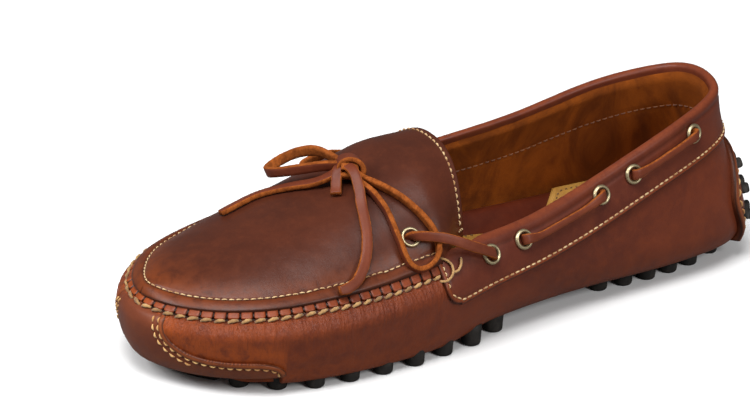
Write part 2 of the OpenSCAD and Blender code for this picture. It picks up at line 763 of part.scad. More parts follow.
module collar_eyelets() {
    color(metal_colour)
        for (t = eyelet_places())
            stand_on(eyelet_point(t), eyelet_normal(t), [0, 0, 1]) eyelet(collar_leather);
}

module apron_eyelets() {
    color(metal_colour)
        for (side = [-1, 1])
            stand_on(apron_eyelet_point(side) - apron_eyelet_normal(side) * leather / 2,
                apron_eyelet_normal(side), [0, 0, 1])
                eyelet(leather);
}

module lace() {
    color(lace_colour)
        ribbon(concat(lace_half(1), [[wall(0, lace_z(0), lace_inside), up_wall(0, lace_z(0))]],
            reversed(lace_half(-1))), lace_width, lace_thickness);
}

module lace_knot() {
    color(lace_colour)
        translate(above(knot_w, 0, knot_lift))
            scale([1.15, 1, 0.78])
                sphere(r = 5.8, $fn = 48);
}

module lace_ends() {
    color(lace_colour) {
        ribbon(end_path(outer_end), lace_width, lace_thickness);
        ribbon(end_path(inner_end), lace_width, lace_thickness);
    }
}

module bow_loop_outer() {
    color(lace_colour) ribbon(loop_path(outer_loop), lace_width, lace_thickness);
}

module bow_loop_inner() {
    color(lace_colour) ribbon(loop_path(inner_loop), lace_width, lace_thickness);
}

module pucker_thread() {
    places = stations(7.25, 16.75);
    wall_thread(places, [for (t = places) 6.5], 0, 0.6);
}

module pucker_thread_rear() {
    color(wax_thread_colour) whole() behind_bend() pucker_thread();
}

module pucker_thread_toe() {
    color(wax_thread_colour) whole() before_bend() pucker_thread();
}

module apron_stitching_rear() {
    color(thread_colour) whole() behind_bend() apron_thread();
}

module apron_stitching_toe() {
    color(thread_colour) whole() before_bend() apron_thread();
}

module tongue_stitching() {
    color(thread_colour)
        ribbon([for (u = steps(-0.95, 0.95, 24)) [above(5.58, u, 0.65), apron_normal(5.58, u)]],
            0.5, 0.8);
}

module collar_stitching() {
    places = stations(-6.75, 6.75);
    color(thread_colour)
        wall_thread(places, [for (t = places) lookup(from_toe(t), leaf_low) - 2.2], COLLAR_OUT);
}

module toe_patch_stitching() {
    color(thread_colour) {
        patch_thread(toe_thread, PATCH_OUT);
        patch_thread([for (p = toe_thread) [2 * TOE - p[0], p[1]]], PATCH_OUT);
    }
}

module heel_patch_stitching() {
    color(thread_colour) patch_thread(heel_thread, HEEL_PATCH_OUT, 0.9);
}

module back_stay_stitching() {
    color(thread_colour)
        for (t = [-0.4, 0.4])
            patch_thread([[t, heel_patch_top + 1.2], [t, top_z(t) - collar_band - 1.5]], 1.1);
}

module sock_stitching() {
    color(thread_colour)
        translate([0, 0, SOCK_Z + sock_thickness + 0.1])
            linear_extrude(height = 0.4)
                difference() {
                    sock_outline(3);
                    sock_outline(3.7);
                }
}

wrap_rear();
wrap_bend_zone();
wrap_toe();
apron_toe();
apron_bend_zone();
apron_vamp();
tongue();
toe_patch();
heel_patch();
back_stay();
collar();
quarter_lining();
heel_counter();
footbed_rear();
footbed_toe();
heel_sock();
heel_peg_plate();
ball_peg_plate();
toe_peg_plate();
heel_back_peg_plate();
collar_eyelets();
apron_eyelets();
lace();
lace_knot();
lace_ends();
bow_loop_outer();
bow_loop_inner();
pucker_thread_rear();
pucker_thread_toe();
apron_stitching_rear();
apron_stitching_toe();
tongue_stitching();
collar_stitching();
toe_patch_stitching();
heel_patch_stitching();
back_stay_stitching();
sock_stitching();
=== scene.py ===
import math

import bmesh
import bpy
import numpy as np
from mathutils import Matrix, Vector
from mathutils.bvhtree import BVHTree


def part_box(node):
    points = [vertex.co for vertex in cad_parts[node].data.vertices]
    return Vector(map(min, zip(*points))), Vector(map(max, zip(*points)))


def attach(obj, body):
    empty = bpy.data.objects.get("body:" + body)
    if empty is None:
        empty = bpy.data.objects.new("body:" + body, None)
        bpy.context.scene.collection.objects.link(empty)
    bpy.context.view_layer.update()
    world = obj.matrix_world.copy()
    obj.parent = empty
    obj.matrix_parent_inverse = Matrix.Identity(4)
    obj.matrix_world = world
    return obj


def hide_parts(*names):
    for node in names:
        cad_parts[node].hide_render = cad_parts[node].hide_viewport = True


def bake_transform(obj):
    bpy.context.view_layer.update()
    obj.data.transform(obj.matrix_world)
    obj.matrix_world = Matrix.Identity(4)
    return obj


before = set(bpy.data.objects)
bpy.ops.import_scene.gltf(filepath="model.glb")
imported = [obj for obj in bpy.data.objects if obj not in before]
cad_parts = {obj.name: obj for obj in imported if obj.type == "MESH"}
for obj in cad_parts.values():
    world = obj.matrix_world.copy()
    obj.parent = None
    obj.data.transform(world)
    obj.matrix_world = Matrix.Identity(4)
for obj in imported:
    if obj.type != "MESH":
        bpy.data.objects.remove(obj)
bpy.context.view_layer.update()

# Shapes are worked out in millimetres and scaled to metres as each mesh is made.
MM = 0.001
SEED = 11

# ---- Sizes of the shoe, in mm ----

# Stations round the shoe, anticlockwise from the middle of the heel by way of the outer side:
# [x, distance from the heel, height of the widest line, lean of the wall above it,
#  height of the topline or apron seam, tuck of the wall below the widest line]
STATIONS = np.array([
    [0, 0, 14, 16, 80, 7], [21, 6, 15, 15, 79, 8], [32, 24, 18, 12, 76, 9],
    [36, 56, 22, 8, 69, 9], [38, 90, 25, 8, 59, 11], [41, 122, 27, 8, 52, 11],
    [44, 146, 27, 9, 49, 9], [47, 166, 27, 11, 46, 7], [49, 192, 26, 12, 41.5, 6],
    [48, 224, 25, 12, 38.5, 7], [40, 251.5, 25, 12, 37.5, 8], [23, 273, 25, 11, 37, 9],
    [-3, 283.5, 25, 10, 37, 9], [-27, 275.5, 25, 11, 37.5, 9], [-43, 257, 26, 12, 38.5, 8],
    [-50, 228, 26, 12, 41, 7], [-50, 198, 27, 12, 45, 7], [-46, 170, 28, 11, 51, 8],
    [-40, 146, 29, 8, 57, 10], [-35, 120, 28, 6, 61, 11], [-33, 88, 26, 6, 65, 11],
    [-32, 54, 22, 7, 72, 9], [-29, 23, 18, 12, 77, 9], [-19, 6, 15, 15, 79, 8]], float)
COUNT = len(STATIONS)
TOE = 12
LEATHER = 1.6
PEG_HEIGHT = 7.0
PEG_R = 3.9
PEG_NECK_R = 4.2
HEEL_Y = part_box("wrap_rear")[1][1] / MM
BEND_Y = HEEL_Y - 217.5
TONGUE_Y = HEEL_Y - 158

COLLAR_IN, COLLAR_OUT = 0.3, 1.7
COLLAR_BAND, COLLAR_FOLD, COLLAR_THICK = 21.5, 4.6, 1.2
FOLD_OUT = -2.4
LINING_OUT, LINING_IN = -3.4, -4.3
COUNTER_OUT, COUNTER_IN = -2.35, -3.1
PATCH_IN, PATCH_OUT = -0.6, 0.8
HEEL_PLATE_IN, HEEL_PLATE_OUT = 0.45, 1.05
HEEL_PATCH_IN, HEEL_PATCH_OUT = 0.9, 2.3
PLATE_Z = PEG_HEIGHT + LEATHER + 0.25
PLATE_TOP = PLATE_Z + 1.5
PLATE_EDGE = -2.8
FOOTBED_Z, FOOTBED_TOP = 10.6, 15.6
SOCK_Z, SOCK_TOP = 15.8, 21.3
LINING_Z = 16.0

LACE_WIDTH, LACE_THICK = 4.2, 1.5
EYELET_BORE, EYELET_FLANGE = 2.6, 4.2
OUTER_EYELETS = [2.5, 3.5, 4.0, 5.35, 6.1]
EYELET_DROP = 9.0
PLEAT = 4.5

# Distance along the wall from one station to the next, about
TOE_STEP, SIDE_STEP, HEEL_STEP = 28, 25, 22


# ---- Shape of the wall ----

def spline_bends():
    """Second differences that make a smooth closed curve pass through the stations."""
    system = np.zeros((COUNT, COUNT))
    for i in range(COUNT):
        system[i, i] = 4 / 6
        system[i, (i + 1) % COUNT] = system[i, i - 1] = 1 / 6
    bend = np.roll(STATIONS, -1, 0) - 2 * STATIONS + np.roll(STATIONS, 1, 0)
    return np.linalg.solve(system, bend)


BENDS = spline_bends()


def at(t):
    """The six values of STATIONS at places between them."""
    t = np.asarray(t, float)
    i = np.floor(t).astype(int)
    f = (t - i)[..., None]
    a, b = STATIONS[i % COUNT], STATIONS[(i + 1) % COUNT]
    ma, mb = BENDS[i % COUNT], BENDS[(i + 1) % COUNT]
    g = 1 - f
    return a * g + b * f + (g ** 3 - g) * ma / 6 + (f ** 3 - f) * mb / 6


def outward(t):
    """Direction out of the shoe, as parts along x and toward the toe."""
    v = at(np.asarray(t) + 0.02) - at(np.asarray(t) - 0.02)
    k = np.hypot(v[..., 0], v[..., 1])
    return v[..., 1] / k, -v[..., 0] / k


def top_z(t):
    return at(t)[..., 4]


def ease(x):
    """A smooth step from 0 at x = 0 to 1 at x = 1."""
    k = np.clip(x, 0, 1)
    return k * k * (3 - 2 * k)


def from_toe(t):
    """Stations between a place and the toe, on either side."""
    return np.abs(TOE - np.mod(t, COUNT))


def lean(t, q):
    """How far up the wall has leaned in: low down at the heel, and high up everywhere else."""
    return q * q * (1 + 2 * (1 - q) * ease((from_toe(t) - 7) / 4))


def wall(t, z, d):
    """Point of the wall at place t and height z, d outward from the outside of the wrap."""
    t, z, d = np.broadcast_arrays(*(np.asarray(v, float) for v in (t, z, d)))
    r = at(t)
    nx, ns = outward(t)
    wide, foot = r[..., 2], PEG_HEIGHT - d
    q = (z - wide) / (r[..., 4] - wide)
    c = np.clip((wide - z) / (wide - foot), 0, 1)
    out = np.where(z >= wide, d - r[..., 3] * lean(t, q), d - r[..., 5] * (1 - np.sqrt(1 - c * c)))
    return np.stack([r[..., 0] + nx * out, HEEL_Y - r[..., 1] - ns * out, z], -1)


def unit(v):
    v = np.asarray(v, float)
    return v / np.maximum(np.linalg.norm(v, axis=-1, keepdims=True), 1e-9)


def wall_normal(t, z, d=0.0):
    n = unit(np.cross(wall(t + 0.03, z, d) - wall(t - 0.03, z, d),
                      wall(t, z + 0.5, d) - wall(t, z - 0.5, d)))
    nx, ns = outward(t)
    side = np.sign(n[..., 0] * nx - n[..., 1] * ns)
    return n * side[..., None]


def smooth(points, per_step):
    """A smooth curve through the points, per_step samples to each step."""
    v = np.asarray(points, float)
    out = []
    for i in range(len(v) - 1):
        a, b, c, d = v[max(i - 1, 0)], v[i], v[i + 1], v[min(i + 2, len(v) - 1)]
        for k in range(per_step):
            f = k / per_step
            out.append((2 * b + (c - a) * f + (2 * a - 5 * b + 4 * c - d) * f * f
                        + (3 * b - a - 3 * c + d) * f ** 3) / 2)
    out.append(v[-1])
    return np.array(out)


def resample(points, step):
    """The same polyline with vertices a constant step apart."""
    p = np.asarray(points, float)
    length = np.concatenate([[0], np.cumsum(np.linalg.norm(np.diff(p[:, :3], axis=0), axis=1))])
    n = max(2, int(round(length[-1] / step)) + 1)
    s = np.linspace(0, length[-1], n)
    return np.stack([np.interp(s, length, p[:, k]) for k in range(p.shape[1])], 1)


# ---- Shape of the apron ----

# Depth of the apron's lower edge below the wall's upper edge, and its rise to the middle, by station
SEAM_DROPS = smooth([[0, 2.6], [1, 2.4], [2, 2.3], [3, 2.1], [4, 3.1], [4.5, 3.8], [5, 4.8], [5.75, 6]], 8)
CROWNS = smooth([[0, 2.2], [1, 6.8], [2, 11], [3, 16], [4, 22], [5, 28.6], [5.75, 30]], 8)
APRON_EDGE = -1.0
APRON_END = 5.75


def seam_z(t):
    """Height of the apron's lower edge, where it meets the pleats."""
    return top_z(t) - np.interp(from_toe(t), SEAM_DROPS[:, 0], SEAM_DROPS[:, 1])


def thread_drop(t):
    """Height from the apron's lower edge down to the thread under the pleats."""
    return 2.8 + 1.0 * ease((from_toe(t) - 2.5) / 2)


def edge_layer(w):
    """Offset of the apron's edge from the wall: it moves inside the collar toward the tongue."""
    return APRON_EDGE - 8.9 * ease((w - 4.9) / 0.85)


def apron_edge(w, side, out=0.0):
    t = TOE - side * w
    z = seam_z(t)
    p = wall(t, np.minimum(z, top_z(t)), edge_layer(w) + out)
    p[..., 2] = z
    return p


def apron(w, u, out=0.0):
    """Apron surface: w stations back from the toe, u from -1 at the inner edge to 1 at the outer."""
    w, u = np.broadcast_arrays(np.asarray(w, float), np.asarray(u, float))
    a, b = apron_edge(w, 1, out), apron_edge(w, -1, out)
    p = (a + b) / 2 + u[..., None] * (a - b) / 2
    crown = np.interp(w, CROWNS[:, 0], CROWNS[:, 1])
    arch = np.maximum(0, 1 - np.abs(u) ** 2.4) ** (1.0 - 0.075 * w)
    p[..., 2] += crown * arch
    p[..., 1] += 5 * (1 - u * u) * ease((w - 5) / 0.75)
    return p


def apron_normal(w, u):
    w, u = np.asarray(w, float), np.clip(np.asarray(u, float), -0.97, 0.97)
    return unit(np.cross(apron(w, u + 0.02) - apron(w, u - 0.02),
                         apron(w + 0.03, u) - apron(w - 0.03, u)))


def above(w, u, h):
    return apron(w, u) + apron_normal(w, u) * np.asarray(h)[..., None]


# ---- Noise ----

def random_at(i, seed):
    """A repeatable random number from 0 to 1 for each whole number."""
    x = np.sin(np.asarray(i, float) * 12.9898 + (seed + SEED) * 78.233) * 43758.5453
    return x - np.floor(x)


def noise(p, seed):
    """Smooth noise from -1 to 1 over points in space."""
    p = np.asarray(p, float)
    i = np.floor(p)
    f = p - i
    f = f * f * (3 - 2 * f)
    total = np.zeros(p.shape[:-1])
    for corner in np.ndindex(2, 2, 2):
        c = np.array(corner)
        q = i + c
        value = random_at(q[..., 0] + 57 * q[..., 1] + 131 * q[..., 2], seed)
        total += value * np.prod(np.where(c == 1, f, 1 - f), axis=-1)
    return total * 2 - 1


def layered_noise(p, scale, seed):
    """Three layers of noise, the coarsest of them scale mm across."""
    p = np.asarray(p, float) / scale
    return sum(noise(p * 2 ** k, seed + k) / 2 ** k for k in range(3)) / 1.75


# ---- Pleats of the seam ----

def seam_lengths():
    t = np.linspace(5.5, 18.5, 2601)
    p = wall(t, top_z(t), 0)
    run = np.concatenate([[0], np.cumsum(np.linalg.norm(np.diff(p, axis=0), axis=1))])
    return t, run - np.interp(TOE, t, run)


SEAM_T, SEAM_RUN = seam_lengths()


def pleat_phase(t):
    return np.interp(t, SEAM_T, SEAM_RUN) / PLEAT


def pleat_place(phase):
    return np.interp(phase * PLEAT, SEAM_RUN, SEAM_T)


PUCKER_END = 4.85
TOE_PATCH_START = 9.72
# Edge of the toe patch from the sole up to the seam, as [t, z]
TOE_PATCH_EDGE = smooth([[9.6, 8.4], [9.62, 11.4], [9.76, 14.4], [10, 15.8], [10.5, 16.2], [10.95, 18],
                         [11.25, 22.5], [11.35, 27], [11.37, 31.0]], 10)


def pucker_weight(t):
    """1 where the wrap is pleated, 0 behind the seam's ends."""
    return 1 - ease((from_toe(t) - PUCKER_END + 0.2) / 0.25)


def bump(x, width):
    """A smooth hump of height 1 about x = 0."""
    return np.exp(-(x / width) ** 2)


def patch_edge_height(t, inset=0.0):
    """Height of the toe patch's upper edge, the same on both sides of the toe."""
    near = TOE - from_toe(t) - inset
    return np.interp(near, TOE_PATCH_EDGE[:, 0], TOE_PATCH_EDGE[:, 1], left=0, right=31)


def pleat_relief(depth, drop, x, pick):
    """The square pleats above the thread, the gaps and holes between them, and the painted shade in those
    gaps and holes and under the apron's lip.
    """
    block = (1 - np.clip(x, 0, 1) ** 7) ** 0.7
    tall = ease((depth + 0.3) / 0.5) * (1 - ease((depth - drop + 1.0) / 0.6))
    hole = bump(depth - drop, 0.75) * ease((x - 0.55) / 0.3)
    relief = (-0.5 + 1.6 * block * (0.75 + 0.4 * pick)) * tall - 0.9 * (1 - ease((depth + 0.6) / 0.6))
    relief -= 0.6 * bump(depth - drop, 0.7) + 0.9 * hole
    # Painted shade: dark in the gaps between pleats, in the thread holes and under the apron's lip.
    gap = tall * ease((x - 0.76) / 0.16) + (1 - ease((depth + 0.1) / 0.5)) + hole
    return relief, np.clip(gap, 0, 1)


def gather_relief(t, depth, gather, x, pick):
    """The folds that run down from the pleats and fade out, with finer wrinkles between them."""
    fade = np.exp(-gather / (3.0 + 6.5 * pick)) * ease(gather / 0.8)
    folds = 0.6 * (0.5 + 0.7 * pick) * (np.abs(np.cos(math.pi * x / 2)) ** 0.8 - 0.5) * fade
    fine = pleat_phase(t) * 2.6 + 0.6 * noise(np.stack([pleat_phase(t) * 1.3, depth / 5, 0 * t], -1), 5)
    uneven = 0.5 + 0.5 * noise(np.stack([fine * 0.7, depth / 4, 0 * t], -1), 6)
    wrinkles = 0.34 * uneven * np.sin(2 * math.pi * fine) * np.exp(-gather / 6) * ease(gather / 1.2)
    return folds + wrinkles + 0.55 * bump(gather - 5.0, 4.5) * ease(gather)


def wrap_relief(t, z):
    """Relief of the wrap in mm, the painted shade in its gaps, and how much it is drawn into lines."""
    depth, drop = seam_z(t) - z, thread_drop(t)
    drift = 0.25 * noise(np.stack([pleat_phase(t) * 0.6, depth / 7, 0 * t], -1), 3)
    phase = pleat_phase(t) + drift * ease((depth - drop) / 6)
    number = np.round(phase)
    x, pick = np.abs(2 * (phase - number)), random_at(number, 1)
    gather = np.maximum(depth - drop - 0.4, 0)
    pleats, gap = pleat_relief(depth, drop, x, pick)
    on, point = pucker_weight(t), wall(t, z, 0)
    soft = 0.45 * layered_noise(point, 34, 7) + 0.12 * layered_noise(point, 9, 9)
    relief = (pleats + gather_relief(t, depth, gather, x, pick)) * on + soft
    pressed = 1.2 * ease((patch_edge_height(t, 0.05) - z) / 1.5)
    relief = relief * ease((z - PEG_HEIGHT) / 5) * (1 - 0.5 * (pressed > 0)) - pressed
    return relief, on * gap, on * np.exp(-gather / 9) * ease((depth - drop) / 1.2)


# ---- Meshes ----

def quads(rows, closed=False):
    """Faces between neighbouring rows of vertex numbers."""
    rows = np.asarray(rows)
    if closed:
        rows = np.vstack([rows, rows[:1]])
    a, b, c, d = rows[:-1, :-1], rows[1:, :-1], rows[1:, 1:], rows[:-1, 1:]
    return np.stack([a, b, c, d], -1).reshape(-1, 4).tolist()


def build(name, points, faces, materials, face_materials=None, fields=None, weld=0.0):
    """A mesh in metres that keeps its rest position, in mm, for its material."""
    mesh = bpy.data.meshes.new(name)
    points = np.asarray(points, float).reshape(-1, 3)
    mesh.from_pydata((points * MM).tolist(), [], faces)
    rest = mesh.attributes.new("rest", "FLOAT_VECTOR", "POINT")
    rest.data.foreach_set("vector", points.astype(np.float32).ravel())
    for key, values in (fields or {}).items():
        layer = mesh.attributes.new(key, "FLOAT", "POINT")
        layer.data.foreach_set("value", np.asarray(values, np.float32).ravel())
    for m in materials if isinstance(materials, list) else [materials]:
        mesh.materials.append(m)
    if face_materials is not None:
        mesh.polygons.foreach_set("material_index", np.asarray(face_materials, np.int32))
    tidy(mesh, weld)
    obj = bpy.data.objects.new(name, mesh)
    bpy.context.scene.collection.objects.link(obj)
    return obj


def tidy(mesh, weld):
    bm = bmesh.new()
    bm.from_mesh(mesh)
    if weld:
        bmesh.ops.remove_doubles(bm, verts=bm.verts, dist=weld * MM)
        bmesh.ops.dissolve_degenerate(bm, edges=bm.edges, dist=weld * MM * 0.1)
    bmesh.ops.recalc_face_normals(bm, faces=bm.faces)
    bm.to_mesh(mesh)
    bm.free()
    mesh.polygons.foreach_set("use_smooth", [True] * len(mesh.polygons))
    mesh.update()


def sheet(name, outer, inner, materials, fields=None, inner_material=0, weld=0.0, open_ends=()):
    """A layer of leather between an outer and an inner grid of points."""
    n, m = outer.shape[:2]
    k = inner.shape[1]
    top = np.arange(n * m).reshape(n, m)
    low = np.arange(n * k).reshape(n, k) + n * m
    front, back = quads(top), quads(low[:, ::-1])
    borders = [np.stack([top[:, 0], low[:, 0]], 1), np.stack([low[:, -1], top[:, -1]], 1)]
    if m == k:
        borders += [np.stack([top[end], low[end]], 1) for end in (0, -1) if end not in open_ends]
    rims = [face for border in borders for face in quads(border)]
    kinds = [0] * len(front) + [inner_material] * len(back) + [0] * len(rims)
    blank = np.zeros(n * k)
    filled = {key: np.concatenate([np.ravel(v), blank]) for key, v in (fields or {}).items()}
    points = np.concatenate([outer.reshape(-1, 3), inner.reshape(-1, 3)])
    return build(name, points, front + back + rims, materials, kinds, filled, weld)


def finish_part(obj, body, slot, *nodes):
    """Hides the CAD parts that a piece stands in for, and hangs the piece on the body it rides when one is
    given; slot is not used.
    """
    if nodes:
        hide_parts(*nodes)
    if body:
        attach(obj, body)
    return obj


def across_rows(t, z):
    """The stations t, repeated across the rows of z."""
    return np.broadcast_to(t[:, None], z.shape)


def surface_of(obj):
    return BVHTree.FromObject(obj, bpy.context.evaluated_depsgraph_get())


def snap(tree, point):
    """Nearest point and normal of a surface, in mm."""
    place, normal, _, _ = tree.find_nearest(Vector(np.asarray(point) * MM))
    return np.array(place) / MM, np.array(normal)


def distance_to(points, line):
    """Distance of each point from a polyline's vertices."""
    flat = points.reshape(-1, points.shape[-1])
    best = np.full(len(flat), 1e9)
    for start in range(0, len(line), 64):
        part = line[start:start + 64]
        gap = np.linalg.norm(flat[:, None, :] - part[None], axis=2)
        best = np.minimum(best, gap.min(1))
    return best.reshape(points.shape[:-1])


def circle(count):
    return np.linspace(0, 2 * math.pi, count, endpoint=False)


def tube_rings(a, b, normal, radius, lift, turns):
    """Rings of one stitch that rises out of the leather and goes back in."""
    s = np.linspace(0, 1, 9)[:, None, None]
    angle = circle(8)[None, :, None]
    along = unit(b - a)
    up = unit(normal - along * np.dot(normal, along))
    side = np.cross(along, up)
    arch = np.sqrt(np.sin(math.pi * np.clip(s, 0.02, 0.98)))
    twist = 1 + 0.13 * np.cos(2 * angle - 2 * math.pi * turns * s)
    r = radius * twist * (0.45 + 0.55 * arch)
    centre = a + (b - a) * s + up * (lift * arch - radius * 0.8 * (1 - arch))
    return centre + side * r * np.cos(angle) + up * r * np.sin(angle) * 0.85


def stitch_rings(runs, radius, lift, turns=1.5):
    return [tube_rings(a, b, n, radius, lift, turns) for a, b, n in runs]


def stitches(name, runs, radius, material, lift):
    """One mesh of many stitches, each [start, end, normal] in mm."""
    return ringed(name, stitch_rings(runs, radius, lift), material)


def row_of_stitches(tree, path, pitch, fill):
    """Stitches along a path laid on a surface, each as long as fill times the pitch."""
    fine = resample(path, pitch / 8)
    runs = []
    gap = int(round(8 * (1 - fill) / 2))
    for k in range(0, len(fine) - 8, 8):
        a, na = snap(tree, fine[k + gap])
        b, nb = snap(tree, fine[k + 8 - gap])
        runs.append((a, b, unit(na + nb)))
    return runs


RIBBON_SECTION = [(-0.5, 0.15, 1), (-0.48, 0.4, 1), (-0.43, 0.5, 0), (-0.15, 0.52, 0), (0.15, 0.52, 0),
                  (0.43, 0.5, 0), (0.48, 0.4, 1), (0.5, 0.15, 1), (0.5, -0.2, 1), (0.44, -0.46, 1),
                  (0.2, -0.5, 1), (-0.2, -0.5, 1), (-0.44, -0.46, 1), (-0.5, -0.2, 1)]


def ribbon_rings(centre, across, width=LACE_WIDTH, thick=LACE_THICK, face_up=True, taper=0.0):
    """Rings round a flat lace, and whether each strip between them is smooth face or rough flesh.

    A short across vector narrows the lace there.
    """
    p = resample(smooth(np.hstack([centre, across]), 5), 0.7)
    centre, across = p[:, :3], p[:, 3:]
    n = len(centre)
    along = unit(np.gradient(centre, axis=0))
    width = width * np.clip(np.linalg.norm(across, axis=1), 0.66, 1)
    across = unit(across - along * (across * along).sum(1, keepdims=True))
    up = np.cross(along, across) * (1 if face_up else -1)
    wobble = layered_noise(centre, 9, 21)
    rough = noise(centre * 0.9, 23)
    end = np.minimum(np.arange(n), np.arange(n)[::-1]) / 4
    narrow = 1 - taper * (1 - ease(end))
    rings = []
    for x, y, edge in RIBBON_SECTION:
        wide = width * (1 + 0.05 * wobble + 0.05 * edge * rough) * narrow
        deep = thick * (1 + 0.1 * edge * np.roll(rough, 3))
        rings.append(centre + across * (wide * x)[:, None] + up * (deep * y)[:, None])
    m = len(RIBBON_SECTION)
    flesh = [1 - int(RIBBON_SECTION[j][2] == 0 and RIBBON_SECTION[(j + 1) % m][2] == 0) for j in range(m)]
    return np.stack(rings, 1), flesh * (n - 1) + [1, 1]


def laces(name, strands):
    """One mesh of flat lace strands."""
    kinds = [kind for _, strip_kinds in strands for kind in strip_kinds]
    return ringed(name, [rings for rings, _ in strands], [LACE_FACE, LACE_FLESH], kinds)


def lathe(profile, place, axis, around):
    """Rings of a turned shape: profile holds [radius, height along the axis] in mm."""
    z = unit(axis)
    helper = np.array([0, 0, 1.0]) if abs(z[2]) < 0.9 else np.array([0, 1.0, 0])
    x = unit(np.cross(helper, z))
    y = np.cross(z, x)
    angle = circle(around)[:, None]
    ring = np.cos(angle) * x + np.sin(angle) * y
    return np.stack([np.asarray(place) + ring * r + z * h for r, h in profile])


def ringed(name, parts, materials, kinds=None, looped=False):
    """One mesh of parts made of rings, each closed at its ends unless it loops round to its start."""
    points, faces, first = [], [], 0
    for rings in parts:
        n, m = rings.shape[:2]
        grid = np.arange(n * m).reshape(n, m) + first
        faces += quads(np.hstack([grid, grid[:, :1]]), looped)
        if not looped:
            faces += [grid[0][::-1].tolist(), grid[-1].tolist()]
        points.append(rings.reshape(-1, 3))
        first += n * m
    return build(name, np.concatenate(points), faces, materials, kinds)


# ---- Materials ----

def rgb(red, green, blue):
    """Screen colour values to the linear ones that materials use."""
    v = np.array([red, green, blue]) / 255
    linear = np.where(v <= 0.04045, v / 12.92, ((v + 0.055) / 1.055) ** 2.4)
    return (*linear.tolist(), 1.0)


class Look:
    """The nodes of one material, laid out on the rest position of its piece."""

    def __init__(self, name):
        self.material = bpy.data.materials.new(name)
        self.material.use_nodes = True
        self.tree = self.material.node_tree
        self.place = self.add("ShaderNodeAttribute", {"attribute_name": "rest"}).outputs["Vector"]

    def feed(self, node, **inputs):
        """Links or sets inputs of a node; an underscore stands for a space in their names."""
        for key, value in inputs.items():
            self.join(value, node.inputs[key.replace("_", " ")])
        return node

    def join(self, value, socket):
        if isinstance(value, bpy.types.NodeSocket):
            self.tree.links.new(value, socket)
        else:
            socket.default_value = value

    def add(self, kind, settings=None, **inputs):
        node = self.tree.nodes.new(kind)
        for key, value in (settings or {}).items():
            setattr(node, key, value)
        return self.feed(node, **inputs)

    def field(self, name):
        """A value that the mesh holds at its vertices."""
        return self.add("ShaderNodeAttribute", {"attribute_name": name}).outputs["Fac"]

    def cloud(self, scale, detail=3.0, rough=0.55, distort=0.0, stretch=None):
        place = self.place if stretch is None else self.pair("VectorMath", "MULTIPLY", self.place, stretch)
        return self.add("ShaderNodeTexNoise", Vector=place, Scale=scale, Detail=detail, Roughness=rough,
                        Distortion=distort).outputs["Fac"]

    def cells(self, feature, scale):
        return self.add("ShaderNodeTexVoronoi", {"feature": feature}, Vector=self.place,
                        Scale=scale).outputs["Distance"]

    def ramp(self, value, low, high):
        """Spreads the part of a value between low and high over 0 to 1."""
        return self.add("ShaderNodeMapRange", {"interpolation_type": "SMOOTHSTEP"}, Value=value,
                        From_Min=low, From_Max=high).outputs[0]

    def mix(self, amount, first, second):
        return self.add("ShaderNodeMixRGB", Fac=amount, Color1=first, Color2=second).outputs[0]

    def pair(self, kind, operation, a, b):
        node = self.add("ShaderNode" + kind, {"operation": operation})
        for socket, value in zip(node.inputs, (a, b)):
            self.join(value, socket)
        return node.outputs[0]

    def times(self, a, b):
        return self.pair("Math", "MULTIPLY", a, b)

    def finish(self, relief=(), **surface):
        """Stacks [height, depth in mm, strength] layers of relief and sets the surface's values."""
        normal = {}
        for height, depth, strength in relief:
            node = self.add("ShaderNodeBump", Height=height, Distance=depth * MM, Strength=strength,
                            **normal)
            normal = {"Normal": node.outputs[0]}
        self.feed(self.tree.nodes["Principled BSDF"], **surface, **normal)
        return self.material


def leather(name, dark, mid, worn, shine=0.36, streaks=False):
    """Waxed pull-up leather: dark where it lies smooth, orange where it is bent or rubbed, with painted
    shade in its wrinkles and where its dark field marks gaps, grooves and edges.
    """
    look = Look(name)
    fine_cloud, speck = look.cloud(0.22, 5, 0.65, 0.3), look.cloud(2.6, 4, 0.7)
    colour = look.mix(look.ramp(look.cloud(0.035, 4, 0.6, 0.6), 0.25, 0.75), dark, mid)
    colour = look.mix(look.times(look.ramp(fine_cloud, 0.42, 0.8), 0.18), colour, worn)
    colour = look.mix(look.times(look.field("wear"), look.ramp(fine_cloud, 0.2, 0.6)), colour, worn)
    colour = look.mix(look.times(look.ramp(speck, 0.45, 0.8), 0.35), colour, PORE_BROWN)
    relief = [(speck, 0.05, 0.35), (look.cells("F1", 1.5), 0.06, 0.3), (fine_cloud, 0.5, 0.14)]
    if streaks:
        lines = look.cloud(0.95, 4, 0.6, 0.4, stretch=(1.5, 1.5, 0.13))
        pucker = look.field("pucker")
        relief.append((look.times(lines, pucker), 0.9, 0.85))
        # Painted shade: the wrinkle lines under the seam are darkened where shade would fall in them.
        shade = look.times(look.ramp(lines, 0.5, 0.72), pucker)
        colour = look.mix(look.times(shade, 0.45), colour, CREASE_SHADE)
    # Painted shade: near black wherever the mesh's dark field marks a gap, hole, groove or edge.
    colour = look.mix(look.field("dark"), colour, GAP_SHADE)
    gloss = look.pair("Math", "ADD", look.times(fine_cloud, 0.22), shine - 0.1)
    return look.finish(relief, Base_Color=colour, Roughness=gloss, Specular_IOR_Level=0.2)


def suede(name, dark, light, scale):
    """Napped leather: brushed light and dark, with a soft sheen."""
    look = Look(name)
    brushed = look.cloud(scale, 5, 0.65, 1.2, stretch=(1, 1, 0.6))
    nap, hairs = look.cloud(1.7, 5, 0.8), look.cloud(1.6, 3, 0.7, 1.5, stretch=(3, 3, 1))
    colour = look.mix(look.ramp(brushed, 0.34, 0.66), dark, light)
    colour = look.mix(look.times(look.ramp(nap, 0.4, 0.75), 0.5), colour, dark)
    return look.finish([(nap, 0.35, 0.7), (hairs, 0.2, 0.5)], Base_Color=colour, Roughness=0.95,
                       Specular_IOR_Level=0.12, Sheen_Weight=0.15, Sheen_Roughness=0.5, Sheen_Tint=light)


